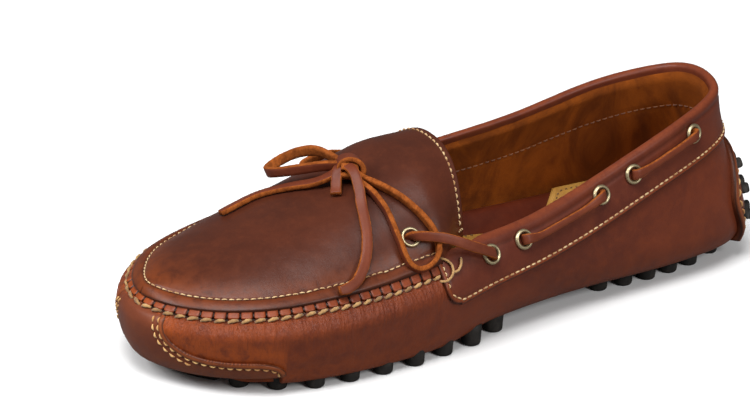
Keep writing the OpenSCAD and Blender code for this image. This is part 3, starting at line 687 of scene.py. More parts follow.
def thread(name, light, dark):
    """Twisted thread, soiled in places."""
    look = Look(name)
    fibres = look.cloud(4.2, 3, 0.7)
    colour = look.mix(look.ramp(look.cloud(0.12, 4, 0.6), 0.38, 0.66), light, dark)
    colour = look.mix(look.times(look.ramp(fibres, 0.4, 0.75), 0.4), colour, dark)
    return look.finish([(fibres, 0.15, 0.6)], Base_Color=colour, Roughness=0.78, Sheen_Weight=0.25)


def rubber(name):
    """Moulded black rubber, matt, with dust and scuffs on it."""
    look = Look(name)
    dust, speck = look.cloud(0.25, 6, 0.7), look.cloud(3.0, 3, 0.7)
    colour = look.mix(look.ramp(dust, 0.42, 0.75), rgb(27, 24, 22), rgb(58, 52, 47))
    return look.finish([(speck, 0.08, 0.5), (dust, 0.3, 0.2)], Base_Color=colour,
                       Roughness=look.ramp(dust, -0.6, 1.1), Specular_IOR_Level=0.4)


def aged_brass(name):
    """Antique metal, bright with brown stains."""
    look = Look(name)
    stain, scratch = look.cloud(0.9, 5, 0.7), look.cloud(2.5, 3, 0.6, stretch=(1, 4, 1))
    colour = look.mix(look.ramp(stain, 0.45, 0.78), rgb(196, 182, 146), rgb(104, 84, 52))
    return look.finish([(scratch, 0.05, 0.3)], Base_Color=colour, Metallic=1.0,
                       Roughness=look.ramp(stain, -0.5, 1.6))


def sock_leather(name):
    """Tan lining leather, with painted shade at its edges and in its stitch groove where the mesh's dark
    field marks them.
    """
    look = Look(name)
    cloud, grain = look.cloud(0.05, 5, 0.6, 0.4), look.cells("SMOOTH_F1", 0.9)
    colour = look.mix(look.ramp(cloud, 0.3, 0.7), rgb(178, 133, 62), rgb(158, 112, 46))
    # Painted shade: darker brown where the dark field marks edges and the stitch groove.
    colour = look.mix(look.times(look.field("dark"), 0.7), colour, rgb(84, 52, 18))
    return look.finish([(grain, 0.2, 0.35), (cloud, 1.0, 0.2)], Base_Color=colour, Roughness=0.52,
                       Specular_IOR_Level=0.4)


# The crease and gap colours are painted shade, for the wrap's wrinkles and for what each mesh's dark field
# marks; the pore colour is the leather's own.
PORE_BROWN, CREASE_SHADE, GAP_SHADE = rgb(46, 20, 14), rgb(52, 22, 16), rgb(20, 8, 6)
WRAP_LEATHER = leather("wrap_leather", rgb(88, 40, 27), rgb(112, 52, 31), rgb(146, 68, 28), 0.36, True)
APRON_LEATHER = leather("apron_leather", rgb(63, 30, 20), rgb(78, 37, 23), rgb(110, 52, 23), 0.36)
COLLAR_LEATHER = leather("collar_leather", rgb(84, 38, 27), rgb(102, 48, 31), rgb(138, 66, 30), 0.38)
PATCH_LEATHER = leather("patch_leather", rgb(94, 46, 31), rgb(116, 59, 36), rgb(150, 78, 36), 0.42)
INSOLE_LEATHER = leather("insole_leather", rgb(66, 24, 13), rgb(84, 32, 16), rgb(108, 48, 22), 0.34)
FLESH = suede("flesh_side", rgb(112, 66, 28), rgb(150, 92, 42), 0.09)
LINING = suede("suede_lining", rgb(84, 38, 7), rgb(128, 64, 14), 0.035)
STIFFENER = suede("counter_board", rgb(120, 88, 52), rgb(160, 124, 82), 0.08)
SOCK = sock_leather("sock_leather")
LACE_FACE = leather("lace_face", rgb(92, 42, 26), rgb(114, 54, 32), rgb(140, 72, 36), 0.45)
LACE_FLESH = suede("lace_flesh", rgb(112, 56, 20), rgb(156, 84, 34), 0.25)
CREAM_THREAD = thread("cream_thread", rgb(214, 184, 136), rgb(158, 112, 64))
WAXED_THREAD = thread("waxed_thread", rgb(178, 138, 84), rgb(116, 80, 42))
HEEL_THREAD = thread("heel_thread", rgb(226, 184, 118), rgb(176, 120, 62))
SOCK_THREAD = thread("sock_thread", rgb(112, 76, 26), rgb(84, 52, 18))
LINING_THREAD = thread("lining_thread", rgb(118, 66, 20), rgb(88, 44, 12))
RUBBER = rubber("black_rubber")
BRASS = aged_brass("antique_brass")


# ---- Wrap: underside and walls in one piece ----

def both_sides(w):
    return TOE - w, TOE + w


def wrap_stations():
    """Stations back from the toe: sixteen to each pleat where the seam is, wider behind it."""
    front = TOE - pleat_place(-np.arange(0, 60, 1 / 16))
    front = front[front < PUCKER_END + 0.3]
    rear = np.linspace(front[-1] + 0.05, TOE, 120)
    w = np.concatenate([front, rear])
    w[0] = 0.0
    return w


def wrap_top(t):
    under_collar = ease((from_toe(t) - 4.7) / 0.6)
    return (seam_z(t) + 1.0) * (1 - under_collar) + (top_z(t) - 13.5) * under_collar


def wrap_heights(t, d, wall_rows, tuck_rows):
    """Heights from the seam or topline down to the underside, closest together at the top."""
    wide, top, foot = at(t)[..., 2], wrap_top(t), PEG_HEIGHT - d
    f = np.linspace(0, 1, wall_rows) ** 1.35
    upper = top[:, None] + (wide - top)[:, None] * f
    turn = np.linspace(0, math.pi / 2, tuck_rows + 1)[1:]
    lower = wide[:, None] - (wide - foot)[:, None] * np.sin(turn)
    return np.hstack([upper, lower])


def wrap_section(w, d, wall_rows, tuck_rows, floor_rows, relief):
    """A U-shaped section of the wrap for each station: down the outer wall, across, up the inner one."""
    sides, dark, pucker, worn = [], [], [], []
    for t in both_sides(w):
        z = wrap_heights(t, d, wall_rows, tuck_rows)
        tt = across_rows(t, z)
        if relief:
            lift, shade, fold = wrap_relief(tt, z)
        else:
            lift = shade = fold = np.zeros(z.shape)
        sides.append(wall(tt, z, d + lift))
        dark.append(shade)
        pucker.append(fold)
        worn.append(wrap_wear(tt, z))
    f = np.linspace(0, 1, floor_rows + 2)[1:-1]
    a, b = sides[0][:, -1], sides[1][:, -1]
    floor = a[:, None] + (b - a)[:, None] * f[None, :, None]
    blank = np.zeros((len(w), floor_rows))
    points = np.concatenate([sides[0], floor, sides[1][:, ::-1]], 1)
    joined = [np.hstack([v[0], blank, v[1][:, ::-1]]) for v in (dark, pucker, worn)]
    return points, joined


def wrap_wear(t, z):
    """Where the wrap is rubbed orange: over the toe patch, along the underside and under the seam."""
    near = from_toe(t)
    over_patch = np.exp(-((z - patch_edge_height(t) - 3) / 4.5) ** 2) * (near < 2.6) * 0.95
    low = np.exp(-np.maximum(z - PEG_HEIGHT, 0) / 7) * 0.45
    seam = np.exp(-np.abs(seam_z(t) - z - 3) / 6) * 0.35 * (near < 5)
    toe = 0.3 * (1 - ease((near - 1.5) / 2.5))
    return np.clip(over_patch + low + seam + toe, 0, 1)


def make_wrap():
    w = wrap_stations()
    outer, (dark, pucker, worn) = wrap_section(w, 0.0, 34, 18, 9, True)
    behind = HEEL_Y - outer[..., 1]
    sag = 3.0 * ease((behind - 140) / 30) * (1 - ease((behind - 250) / 14))
    outer[..., 2] -= sag * ease((13 - outer[..., 2]) / 6)
    inner, _ = wrap_section(w, -LEATHER, 9, 6, 5, False)
    # The dark field is painted shade in the pleats' gaps and holes and under the apron's lip; the pucker
    # field marks the wrinkles that the material shades.
    wrap = sheet("wrap", outer, inner, [WRAP_LEATHER, FLESH],
                 {"dark": dark, "pucker": pucker, "wear": worn}, 1, weld=0.02)
    return finish_part(wrap, None, "leather", "wrap_rear", "wrap_bend_zone", "wrap_toe")


# ---- Apron and tongue ----

TONGUE_START = 5.15
LIP_WIDTH = 3.9
LIP_OVERHANG = 2.3


def apron_rows(start, end, step):
    """Stations from start to end, a constant distance apart along the seam."""
    w = np.linspace(start, end, 400)
    p = apron_edge(w, 1)
    run = np.concatenate([[0], np.cumsum(np.linalg.norm(np.diff(p, axis=0), axis=1))])
    return np.interp(np.linspace(0, run[-1], int(run[-1] / step)), run, w)


def apron_outline():
    w = np.linspace(0, APRON_END, 700)
    return np.concatenate([apron_edge(w[::-1], 1), apron_edge(w, -1)])


def apron_across(w):
    """Places across each row, close together over the lip at both edges."""
    edge = np.array([0, 0.2, 0.5, 0.85, 1.25, 1.7, 2.1, 2.5, 2.9, 3.3, 3.6, 3.9, 4.2, 4.6, 5.3, 6.5])
    half = np.linalg.norm(apron_edge(w, 1) - apron_edge(w, -1), axis=-1) / 2
    near = edge[None] * np.minimum(1, half * 0.85 / edge[-1])[:, None]
    middle = np.linspace(0, 1, 18)[1:]
    e = np.hstack([near, near[:, -1:] + (half[:, None] - near[:, -1:]) * middle])
    u = 1 - e / half[:, None]
    return np.hstack([-u, u[:, -2::-1]])


def apron_surface(w, relief=True):
    """Points of the apron with its lip, stitch channel and soft waves, or smooth without relief."""
    u = apron_across(w)
    ww = across_rows(w, u)
    plain = apron(ww, u)
    e = distance_to(plain, apron_outline())
    sewn = 1 - ease((ww - 4.75) / 0.3)
    out = LIP_OVERHANG * np.maximum(0, 1 - e / 6) ** 2 * sewn
    base = apron(ww, u, out)
    normal = grid_normals(base)
    if not relief:
        return base, normal, u, e
    lip = 0.85 * np.sqrt(np.clip(1 - ((e - 1.6) / 2.0) ** 2, 0, 1)) * sewn
    channel = -0.4 * bump(e - LIP_WIDTH, 0.5) * sewn
    hem = 0.3 * bump(e - 1.2, 1.0) * (1 - sewn)
    soft = 0.6 * layered_noise(plain, 30, 13) + 0.15 * layered_noise(plain, 8, 14)
    height = lip + channel + hem + soft * ease(e / 6)
    return base + normal * height[..., None], normal, u, e


def grid_normals(p):
    n = unit(np.cross(np.gradient(p, axis=1), np.gradient(p, axis=0)))
    return n * np.where(n[..., 2:] < 0, -1, 1)


def apron_wear(w, e):
    rim = np.exp(-(np.maximum(e - 5, 0) / 5) ** 2) * 0.5
    toe = 0.45 * (1 - ease((w - 0.3) / 2.2))
    return np.clip(rim + toe, 0, 1)


def apron_piece(name, w, open_ends):
    top, _, u, e = apron_surface(w)
    flat, flat_normal = apron_surface(w, False)[:2]
    under = flat - np.array([0, 0, 1.0]) * LEATHER * 0.4 - flat_normal * LEATHER * 0.6
    ww = across_rows(w, u)
    # Painted shade along the lip's outer edge and in the stitch channel.
    dark = 0.75 * np.exp(-(e / 0.5) ** 2) * (ww < 4.9) + 0.55 * bump(e - LIP_WIDTH, 0.45) * (ww < 4.8)
    return sheet(name, top, under, [APRON_LEATHER, FLESH],
                 {"dark": dark, "wear": apron_wear(ww, e)}, 1, weld=0.02,
                 open_ends=open_ends)


def make_apron():
    w = apron_rows(0.02, TONGUE_START, 0.75)
    apron_mesh = apron_piece("apron", w, (-1,))
    return finish_part(apron_mesh, None, "leather", "apron_toe", "apron_bend_zone", "apron_vamp")


def make_tongue():
    w = np.linspace(TONGUE_START, APRON_END, 26)
    tongue = apron_piece("tongue_leather", w, (0,))
    return finish_part(tongue, None, "leather", "tongue")


# ---- Patches ----

def ladder(edge, base, rows):
    """Points between matching places on two lines of [t, z], spread evenly."""
    f = np.linspace(0, 1, rows)[None, :, None]
    return edge[:, None] + (base - edge)[:, None] * f


def patch_points(tz, d, lift=0.0):
    return wall(tz[..., 0], tz[..., 1], d + lift)


def make_toe_patch():
    """The patch round the toe, with a folded rim down each side and its top under the seam."""
    one = TOE_PATCH_EDGE[1:]
    other = np.stack([2 * TOE - one[::-1, 0], one[::-1, 1]], 1)
    edge = resample(np.vstack([one, [[TOE, 31.2]], other]) * [TOE_STEP, 1], 0.6) / [TOE_STEP, 1]
    f = np.linspace(0, 1, len(edge))
    base_t = TOE + 2 * (TOE - TOE_PATCH_START) * (f - 0.5) * 0.9
    base = np.stack([base_t, np.full(len(edge), 8.0)], 1)
    tz = ladder(edge, base, 48)
    flat = patch_points(tz, PATCH_OUT)
    e = distance_to(flat, np.concatenate([patch_points(v, PATCH_OUT) for v in (one, other)]))
    rim = 0.5 * np.sqrt(np.clip(1 - ((e - 1.1) / 1.3) ** 2, 0, 1))
    channel = -0.25 * (bump(e - 2.5, 0.5) + bump(e - 5, 0.5) * ease((tz[..., 1] - 17) / 3))
    soft = 0.35 * layered_noise(flat, 16, 31) * ease(e / 4)
    foot = ease((tz[..., 1] - 7.8) / 3)
    tuck = -1.3 * bump(31.3 - tz[..., 1], 0.7)
    outer = patch_points(tz, PATCH_OUT, (rim + channel + soft) * foot + tuck - 0.35 * bump(e, 0.35))
    inner = patch_points(tz, PATCH_IN - 0.5)
    # Painted shade along the rim's edge and in the first stitch channel.
    dark = 0.85 * bump(e, 0.45) + 0.4 * bump(e - 2.5, 0.4)
    worn = 0.6 * bump(e - 1.2, 1.0) + 0.3 * ease(1 - (tz[..., 1] - 8) / 12)
    patch = sheet("toe_patch_leather", outer, inner, PATCH_LEATHER,
                  {"dark": dark, "wear": worn})
    finish_part(patch, "forefoot", "leather", "toe_patch")
    tree = surface_of(patch)
    steep = one[one[:, 1] > 17.5]
    runs = []
    for line, inset in ((one, 2.5), (steep, 5.0)):
        for path in (line, np.stack([2 * TOE - line[:, 0], line[:, 1]], 1)):
            runs += row_of_stitches(tree, inset_path(path, PATCH_OUT, inset, wall(TOE, 20, 0)), 3.4, 0.72)
    sew = stitches("toe_patch_thread", runs, 0.42, HEEL_THREAD, 0.4)
    finish_part(sew, "forefoot", "thread", "toe_patch_stitching")


def inset_path(edge, d, inset, middle):
    """The line a set distance in from an edge of [t, z] places, on the side of a middle point."""
    p = wall(edge[:, 0], edge[:, 1], d)
    across = unit(np.cross(wall_normal(edge[:, 0], edge[:, 1]), unit(np.gradient(p, axis=0))))
    return p + across * inset * np.sign(((middle - p) * across).sum())


HEEL_PATCH_HALF = 1.75
HEEL_PATCH_LOW, HEEL_PATCH_TOP = 8.6, 51.0


def make_heel_patch():
    """The patch on the back of the heel: a thick folded edge, heavy stitches and dimples round the small
    pegs, which make_heel_back_pegs makes.
    """
    a = np.linspace(0, math.pi, 90)
    t = -HEEL_PATCH_HALF * np.sign(np.cos(a)) * np.abs(np.cos(a)) ** 0.77
    z = HEEL_PATCH_LOW + 8 + (HEEL_PATCH_TOP - HEEL_PATCH_LOW - 8) * np.sin(a) ** 0.77
    foot = np.array([[HEEL_PATCH_HALF, HEEL_PATCH_LOW + 4], [HEEL_PATCH_HALF, HEEL_PATCH_LOW]])
    arc = np.vstack([foot[::-1] * [-1, 1], np.stack([t, z], 1), foot])
    edge = resample(arc * [HEEL_STEP, 1], 0.8) / [HEEL_STEP, 1]
    edge[:, 0] *= 0.76 + 0.24 * ease((edge[:, 1] - HEEL_PATCH_LOW) / 24)
    f = np.linspace(-1, 1, len(edge))
    base = np.stack([HEEL_PATCH_HALF * 0.7 * f, np.full(len(edge), HEEL_PATCH_LOW - 0.5)], 1)
    tz = ladder(edge, base, 44)
    flat = patch_points(tz, HEEL_PATCH_OUT)
    e = distance_to(flat, flat[:, 0])
    rim = 0.7 * np.sqrt(np.clip(1 - ((e - 1.7) / 1.9) ** 2, 0, 1))
    channel = -0.55 * bump(e - 5.6, 0.8)
    soft = 0.35 * layered_noise(flat, 14, 33) * ease(e / 5)
    pegs = patch_points(np.array(heel_peg_spots()), HEEL_PATCH_OUT)
    ring = distance_to(flat, pegs)
    dimple = -0.7 * bump(ring - 2.6, 0.9)
    outer = patch_points(tz, HEEL_PATCH_OUT, rim + channel + soft + dimple - 0.4 * bump(e, 0.5))
    inner = patch_points(tz, HEEL_PATCH_IN - 1.0)
    # Painted shade along the edge, in the stitch channel and round each peg's dimple.
    dark = 0.85 * bump(e, 0.6) + 0.5 * bump(e - 5.6, 0.6) + 0.6 * bump(ring - 2.5, 0.5)
    worn = 0.7 * bump(e - 1.8, 1.5) + 0.35 * bump(e - 8, 3)
    patch = sheet("heel_patch_leather", outer, inner, PATCH_LEATHER,
                  {"dark": dark, "wear": worn})
    finish_part(patch, "rearfoot", "leather", "heel_patch")
    line = inset_path(edge, HEEL_PATCH_OUT, 5.6, wall(0, 26, 0))
    sew = stitches("heel_patch_thread", row_of_stitches(surface_of(patch), line, 4.8, 0.76), 0.62,
                   HEEL_THREAD, 0.5)
    finish_part(sew, "rearfoot", "thread", "heel_patch_stitching")


def heel_peg_spots():
    """Places [t, z] of the small pegs: three rows, the middle one set over by half a pitch."""
    pitch = 0.37
    return ([[k * pitch, 19.5] for k in range(-3, 4)]
            + [[(k + 0.5) * pitch, 29] for k in range(-3, 3)]
            + [[k * pitch, 38.5] for k in range(-2, 3)])


def make_back_stay():
    """The strip up the back seam, with two rows of stitching."""
    half = 0.5
    t = np.linspace(-half, half, 41)
    z = np.linspace(0, 1, 16)
    low = np.full(len(t), HEEL_PATCH_TOP - 1.5)
    high = top_z(t) - COLLAR_BAND + 1
    zz = low[:, None] + (high - low)[:, None] * z
    tt = across_rows(t, zz)
    run = np.abs(np.abs(tt) - half) * HEEL_STEP
    fold = 0.45 * bump(run - 1.0, 0.9) - 0.25 * bump(run - 2.6, 0.5)
    lift = fold + 0.2 * layered_noise(wall(tt, zz, 1), 8, 35)
    outer = wall(tt, zz, 1.1 + lift)
    inner = wall(tt, zz, 0.1)
    # Painted shade along the stay's folded edges.
    dark = 0.8 * bump(run, 0.5)
    stay = sheet("back_stay_leather", outer, inner, PATCH_LEATHER,
                 {"dark": dark, "wear": 0.5 * bump(run - 1.2, 1)})
    finish_part(stay, "rearfoot", "leather", "back_stay")
    tree = surface_of(stay)
    runs = []
    for side in (-1, 1):
        zs = np.linspace(HEEL_PATCH_TOP, float(top_z(0)) - COLLAR_BAND, 20)
        runs += row_of_stitches(tree, wall(side * (half - 2.6 / HEEL_STEP), zs, 1.2), 2.7, 0.7)
    sew = stitches("back_stay_thread", runs, 0.36, CREAM_THREAD, 0.3)
    finish_part(sew, "rearfoot", "thread", "back_stay_stitching")


# ---- Collar and lining ----

LEAF_TIP = 4.71
LEAF_LOW = smooth([[4.70, 6], [4.71, 11], [4.74, 14.5], [4.8, 17.3], [4.9, 19.6], [5.05, 21],
                   [5.25, 21.5], [5.6, 21.5], [12, 21.5]], 8)


def rim_z(t):
    """Height of the collar's edge, which dips a little beside the throat, most on the outer side."""
    outer_side = ease((TOE - np.mod(t, COUNT)) / 2 + 0.5)
    outer_dip = 2.6 * bump(from_toe(t) - 6.9, 1.9)
    return top_z(t) - outer_dip * outer_side - 1.5 * bump(from_toe(t) - 6.2, 1.3) * (1 - outer_side)


def collar_depth(t):
    return np.interp(from_toe(t), LEAF_LOW[:, 0], LEAF_LOW[:, 1])


def collar_stations():
    tip = TOE - np.concatenate([np.arange(LEAF_TIP, 5.4, 0.012), np.arange(5.42, 6, 0.03)])
    body = np.linspace(0, TOE - 6, 150)[:-1]
    half = np.concatenate([body, tip[::-1]])
    return np.concatenate([-half[:0:-1], half])


FACE_ROWS = 26
ROLL = 2.5


def collar_section(t, z_top, shrink):
    """Heights and layers down from the face's lower edge, over the roll and down the inside."""
    low = collar_depth(t) - (top_z(t) - z_top)
    fold = -1.4 + (FOLD_OUT + 1.4) * shrink
    f = np.linspace(0, 1, FACE_ROWS) ** 1.15
    face_z = (z_top - low)[:, None] + (low - ROLL)[:, None] * f
    angle = np.linspace(0, math.pi, 15)[1:]
    middle, radius = (COLLAR_OUT + fold) / 2, (COLLAR_OUT - fold) / 2
    roll_z = (z_top - ROLL)[:, None] + (1.2 + 0.8 * shrink)[:, None] * np.sin(angle)
    roll_d = middle[:, None] + radius[:, None] * np.cos(angle)
    inside_z = z_top[:, None] - ROLL - (COLLAR_FOLD - ROLL) * shrink[:, None] * np.array([0.35, 0.7, 1])
    inside_d = np.broadcast_to(fold[:, None], inside_z.shape)
    z = np.hstack([face_z, roll_z, inside_z])
    return z, np.hstack([np.full(face_z.shape, COLLAR_OUT), roll_d, inside_d]), angle


def collar_back(tt, z, d, angle):
    """The collar's inner surface, which keeps inside the roll."""
    back = wall(tt, z, d - COLLAR_THICK)
    roll = slice(FACE_ROWS, None)
    sink = 0.8 * np.sin(np.pad(angle, (0, 3)))[None]
    back[:, roll] = wall(tt[:, roll], z[:, roll] - sink, d[:, roll] * 0.72 - 0.4)
    return back


def make_collar():
    """A strip folded over the topline that ends in a rounded leaf on each side of the throat."""
    t = collar_stations()
    z_top = rim_z(t)
    shrink = 1 - ease((5.95 - from_toe(t)) / 0.5)
    z, d, angle = collar_section(t, z_top, shrink)
    tt = across_rows(t, z)
    flat = wall(tt, z, d)
    e = distance_to(flat, np.concatenate([flat[0, :FACE_ROWS], flat[:, 0], flat[-1, :FACE_ROWS]]))
    on_face = (np.arange(z.shape[1]) < FACE_ROWS)[None]
    under_roll = z_top[:, None] - z - 4.6
    hem = (0.4 * bump(e - 1.0, 0.8) - 0.35 * bump(e - 2.1, 0.45)) * on_face
    piping = -0.35 * bump(under_roll, 0.8) * on_face * shrink[:, None]
    soft = 0.3 * layered_noise(flat, 26, 41) + 0.1 * layered_noise(flat, 7, 42)
    lift = hem + piping + soft * ease(e / 3) + collar_pull(tt, z)
    outer = wall(tt, z, d + lift * np.where(on_face, 1, 0.4))
    # Painted shade along the collar's edge and in the groove under the roll.
    dark = (0.7 * bump(e, 0.45) + 0.35 * bump(under_roll, 0.6) * shrink[:, None]) * on_face
    worn = 0.6 * bump(e - 1.1, 0.9) * on_face + 0.35 * bump(z_top[:, None] - z, 1.6)
    collar = sheet("collar_leather", outer, collar_back(tt, z, d, angle), COLLAR_LEATHER,
                   {"dark": dark, "wear": worn})
    finish_part(collar, "rearfoot", "leather", "collar")
    sew_collar(surface_of(collar))


def collar_pull(t, z):
    """The leather dips a little round each eyelet."""
    total = np.zeros(t.shape)
    for place in eyelet_places():
        run = np.minimum(np.abs(t - place), COUNT - np.abs(t - place)) * SIDE_STEP
        total += -0.45 * np.exp(-((run ** 2 + (top_z(t) - EYELET_DROP - z) ** 2) / 30))
    return total


def sew_collar(tree):
    half = np.linspace(0, TOE - LEAF_TIP - 0.06, 300)
    t = np.concatenate([-half[:0:-1], half])
    inset = 2.1
    tip = np.interp(from_toe(t), [LEAF_TIP + 0.06, LEAF_TIP + 0.3], [0.0, 1.0])
    z = top_z(t) - collar_depth(t) + inset + 1.2 * (1 - tip)
    runs = row_of_stitches(tree, wall(t, z, COLLAR_OUT + 0.4), 2.85, 0.7)
    for side in (-1, 1):
        runs += leaf_front_stitches(tree, side)
    sew = stitches("collar_thread", runs, 0.36, CREAM_THREAD, 0.3)
    finish_part(sew, "rearfoot", "thread", "collar_stitching")


def leaf_front_stitches(tree, side):
    """Stitches up the front edge of the leaf."""
    t = TOE - side * (LEAF_TIP + 0.075)
    z = top_z(t) - np.linspace(12.5, 3.5, 12)
    return row_of_stitches(tree, wall(np.full(12, t), z, COLLAR_OUT + 0.4), 2.4, 0.75)


def make_lining():
    """Suede inside the quarters, with a sewn line along it; the stiffener behind it is made by
    make_counter.
    """
    t = np.linspace(-6.25, 6.25, 260)
    high = rim_z(t) - 3.6
    f = np.linspace(0, 1, 40)
    z = LINING_Z + (high - LINING_Z)[:, None] * f
    tt = across_rows(t, z)
    rise = 2.2 * ease(1 - (high[:, None] - z) / 2.6)
    flat = wall(tt, z, LINING_IN)
    line_depth = top_z(tt) - z - COLLAR_BAND + 2
    soft = 0.5 * layered_noise(flat, 24, 51) + 0.12 * layered_noise(flat, 6, 52)
    lift = soft + 0.35 * bump(line_depth, 0.7)
    facing = wall(tt, z, LINING_IN + lift + rise)
    back = wall(tt, z, LINING_OUT + rise * 0.8)
    lining = sheet("suede_lining", facing, back, LINING)
    finish_part(lining, "rearfoot", "suede", "quarter_lining")
    path_t = np.linspace(-5.4, 5.4, 300)
    path = wall(path_t, top_z(path_t) - COLLAR_BAND + 2, LINING_IN)
    runs = row_of_stitches(surface_of(lining), path, 2.85, 0.66)
    sew = stitches("lining_thread", runs, 0.3, LINING_THREAD, 0.25)
    finish_part(sew, "rearfoot", "thread")


def make_counter():
    t = np.linspace(-3, 3, 90)
    high = top_z(t) - 24
    z = LINING_Z + (high - LINING_Z)[:, None] * np.linspace(0, 1, 16)
    tt = across_rows(t, z)
    lift = 0.15 * layered_noise(wall(tt, z, 0), 12, 55)
    outer, inner = wall(tt, z, COUNTER_OUT + lift), wall(tt, z, COUNTER_IN + lift)
    counter = sheet("counter_board", outer, inner, STIFFENER)
    finish_part(counter, "rearfoot", "suede", "heel_counter")


# ---- Insole and sock ----

def floor_outline(z, d, places):
    return wall(places, np.full(len(places), z), d)[:, :2]


def make_insole():
    """The cushioned leather insole, cupped against the walls and marked by the foot."""
    w = np.linspace(0, TOE, 150)
    layer = -3.4 - 1.8 * ease((w - 4.6) / 1.2)
    a, b = (floor_outline(FOOTBED_TOP + 6, layer, t) for t in both_sides(w))
    low_a, low_b = (floor_outline(FOOTBED_Z, -LEATHER - 1.2, t) for t in both_sides(w))
    f = ((1 - np.cos(np.linspace(0, math.pi, 40))) / 2)[None, :, None]
    flat = a[:, None] + (b - a)[:, None] * f
    low = low_a[:, None] + (low_b - low_a)[:, None] * f
    soft = layered_noise(np.dstack([flat, np.zeros(flat.shape[:2])]), 30, 61)
    edge = distance_to(flat, np.concatenate([a, b]))
    top = np.dstack([flat, FOOTBED_TOP + 0.35 * soft + cup(edge, 8.5) - 0.5 * np.exp(-edge / 1.2)])
    under = np.dstack([low, np.full(flat.shape[:2], FOOTBED_Z)])
    # Painted shade where the insole meets the walls.
    insole = sheet("insole", top, under, INSOLE_LEATHER,
                   {"wear": 0.3 * ease(soft), "dark": 0.3 * np.exp(-edge / 2)}, weld=0.02)
    return finish_part(insole, None, "leather", "footbed_rear", "footbed_toe")


# Front edge of the sock, cut away beside the arch, as [x, distance from the heel]
SOCK_EDGE = smooth([[-40, 62], [-29, 68], [-20, 77], [-12, 88], [-10, 100], [-12, 112], [-15, 124],
                    [-16, 140], [-12, 156], [2, 168], [20, 172], [40, 172.4]], 8)


def cup(gap, depth=5.5):
    """How far the insole and sock rise where they meet the wall."""
    return depth * np.exp(-(np.maximum(gap, 0) / 8) ** 2)


def sock_rows():
    """Rows across the heel sock as [left x, right x, y, gap between the left end and the wall]."""
    outer_t = np.linspace(0, 7.05, 400)
    outer = floor_outline(SOCK_TOP + 3, LINING_IN - 0.7, outer_t)
    inner = floor_outline(SOCK_TOP + 3, LINING_IN - 0.7, -outer_t)
    rows = []
    for reach in np.concatenate([np.linspace(8.5, 64, 62), np.linspace(64.8, 171, 122)]):
        right = np.interp(reach, HEEL_Y - outer[:, 1], outer[:, 0])
        wall_x = np.interp(reach, HEEL_Y - inner[:, 1], inner[:, 0])
        left = max(wall_x, np.interp(reach, SOCK_EDGE[:, 1], SOCK_EDGE[:, 0]))
        rows.append([left, max(right, left + 0.4), HEEL_Y - reach, left - wall_x])
    return np.array(rows)


def make_sock():
    rows = sock_rows()
    f = (1 - np.cos(np.linspace(0, math.pi, 46))) / 2
    x = rows[:, :1] + (rows[:, 1:2] - rows[:, :1]) * f
    y = np.broadcast_to(rows[:, 2:3], x.shape)
    flat = np.dstack([x, y, np.zeros(x.shape)])
    rim = np.concatenate([flat[:, 0], flat[:, -1], flat[0], flat[-1]])
    e = distance_to(flat, rim)
    raised = np.maximum(cup(x - rows[:, :1] + rows[:, 3:]), cup(rows[:, 1:2] - x))
    raised = np.maximum(raised, cup(HEEL_Y - 8.5 - y))
    puff = 0.5 * ease(e / 8) + 0.4 * ease(e / 3) - 0.4 * bump(e - 3.2, 0.8)
    soft = 0.5 * layered_noise(flat, 26, 63) + 0.12 * layered_noise(flat, 7, 64)
    height = SOCK_TOP - 1.1 + raised + puff + soft * ease(e / 6) - 0.7 * bump(e, 0.8)
    top = flat + np.dstack([0 * x, 0 * x, height])
    under = flat + [0, 0, SOCK_Z + 0.4] + np.dstack([0 * x, 0 * x, raised * 0.8])
    # Painted shade along the sock's edges and in its stitch groove.
    dark = 0.6 * np.exp(-e / 0.7) + 0.3 * bump(e - 3.2, 0.8)
    sock = sheet("heel_sock_pad", top, under, SOCK, {"dark": dark})
    finish_part(sock, "rearfoot", "sock_leather", "heel_sock")
    line = [flat[k, int(np.argmin(np.abs(e[k, :23] - 3.2)))] for k in range(4, len(flat) - 3)]
    other = [flat[k, 23 + int(np.argmin(np.abs(e[k, 23:] - 3.2)))] for k in range(4, len(flat) - 3)]
    tree = surface_of(sock)
    runs = []
    for path in (np.array(line), np.array(other)):
        runs += row_of_stitches(tree, path + [0, 0, SOCK_TOP + 2.0], 2.6, 0.6)
    sew = stitches("sock_thread", runs, 0.3, SOCK_THREAD, 0.22)
    finish_part(sew, "rearfoot", "thread", "sock_stitching")


# ---- Threads of the seam and the apron ----

def cord(path, radius):
    """Rings of a twisted cord along a smooth path."""
    step, twist_pitch = 0.3, 2.4
    p = resample(path, step)
    n = len(p)
    along = unit(np.gradient(p, axis=0))
    helper = np.array([0.3, 0.2, 1.0])
    side = unit(np.cross(along, helper))
    up = np.cross(side, along)
    angle = circle(10)
    turn = 2 * math.pi * np.arange(n)[:, None] * step / twist_pitch
    r = radius * (1 + 0.15 * np.cos(2 * (angle - turn)))
    r = r * np.clip(np.minimum(np.arange(n), np.arange(n)[::-1]) / 3 + 0.4, 0, 1)[:, None]
    across, high = (r * np.cos(angle))[..., None], (r * np.sin(angle))[..., None]
    return p[:, None] + side[:, None] * across + up[:, None] * high


def seam_point(near, side, depth, d):
    """A point beside the seam's end: near stations back from the toe, depth below the wall's edge."""
    t = TOE - side * near
    return wall(t, top_z(t) - depth, d)


# The loose loops of waxed thread at each end of the seam, as [stations from the toe, depth, offset]
THREAD_LOOPS = [[[4.66, 9.2, 0.3], [4.76, 9.2, 2.4], [4.88, 7.6, 3.3], [4.92, 5.2, 3.4], [4.87, 3.2, 3.2],
                 [4.78, 2.0, 2.4]],
                [[4.9, 7.4, 3.0], [5.0, 7.4, 3.4], [5.1, 6.2, 3.4], [5.17, 4.4, 3.0]]]


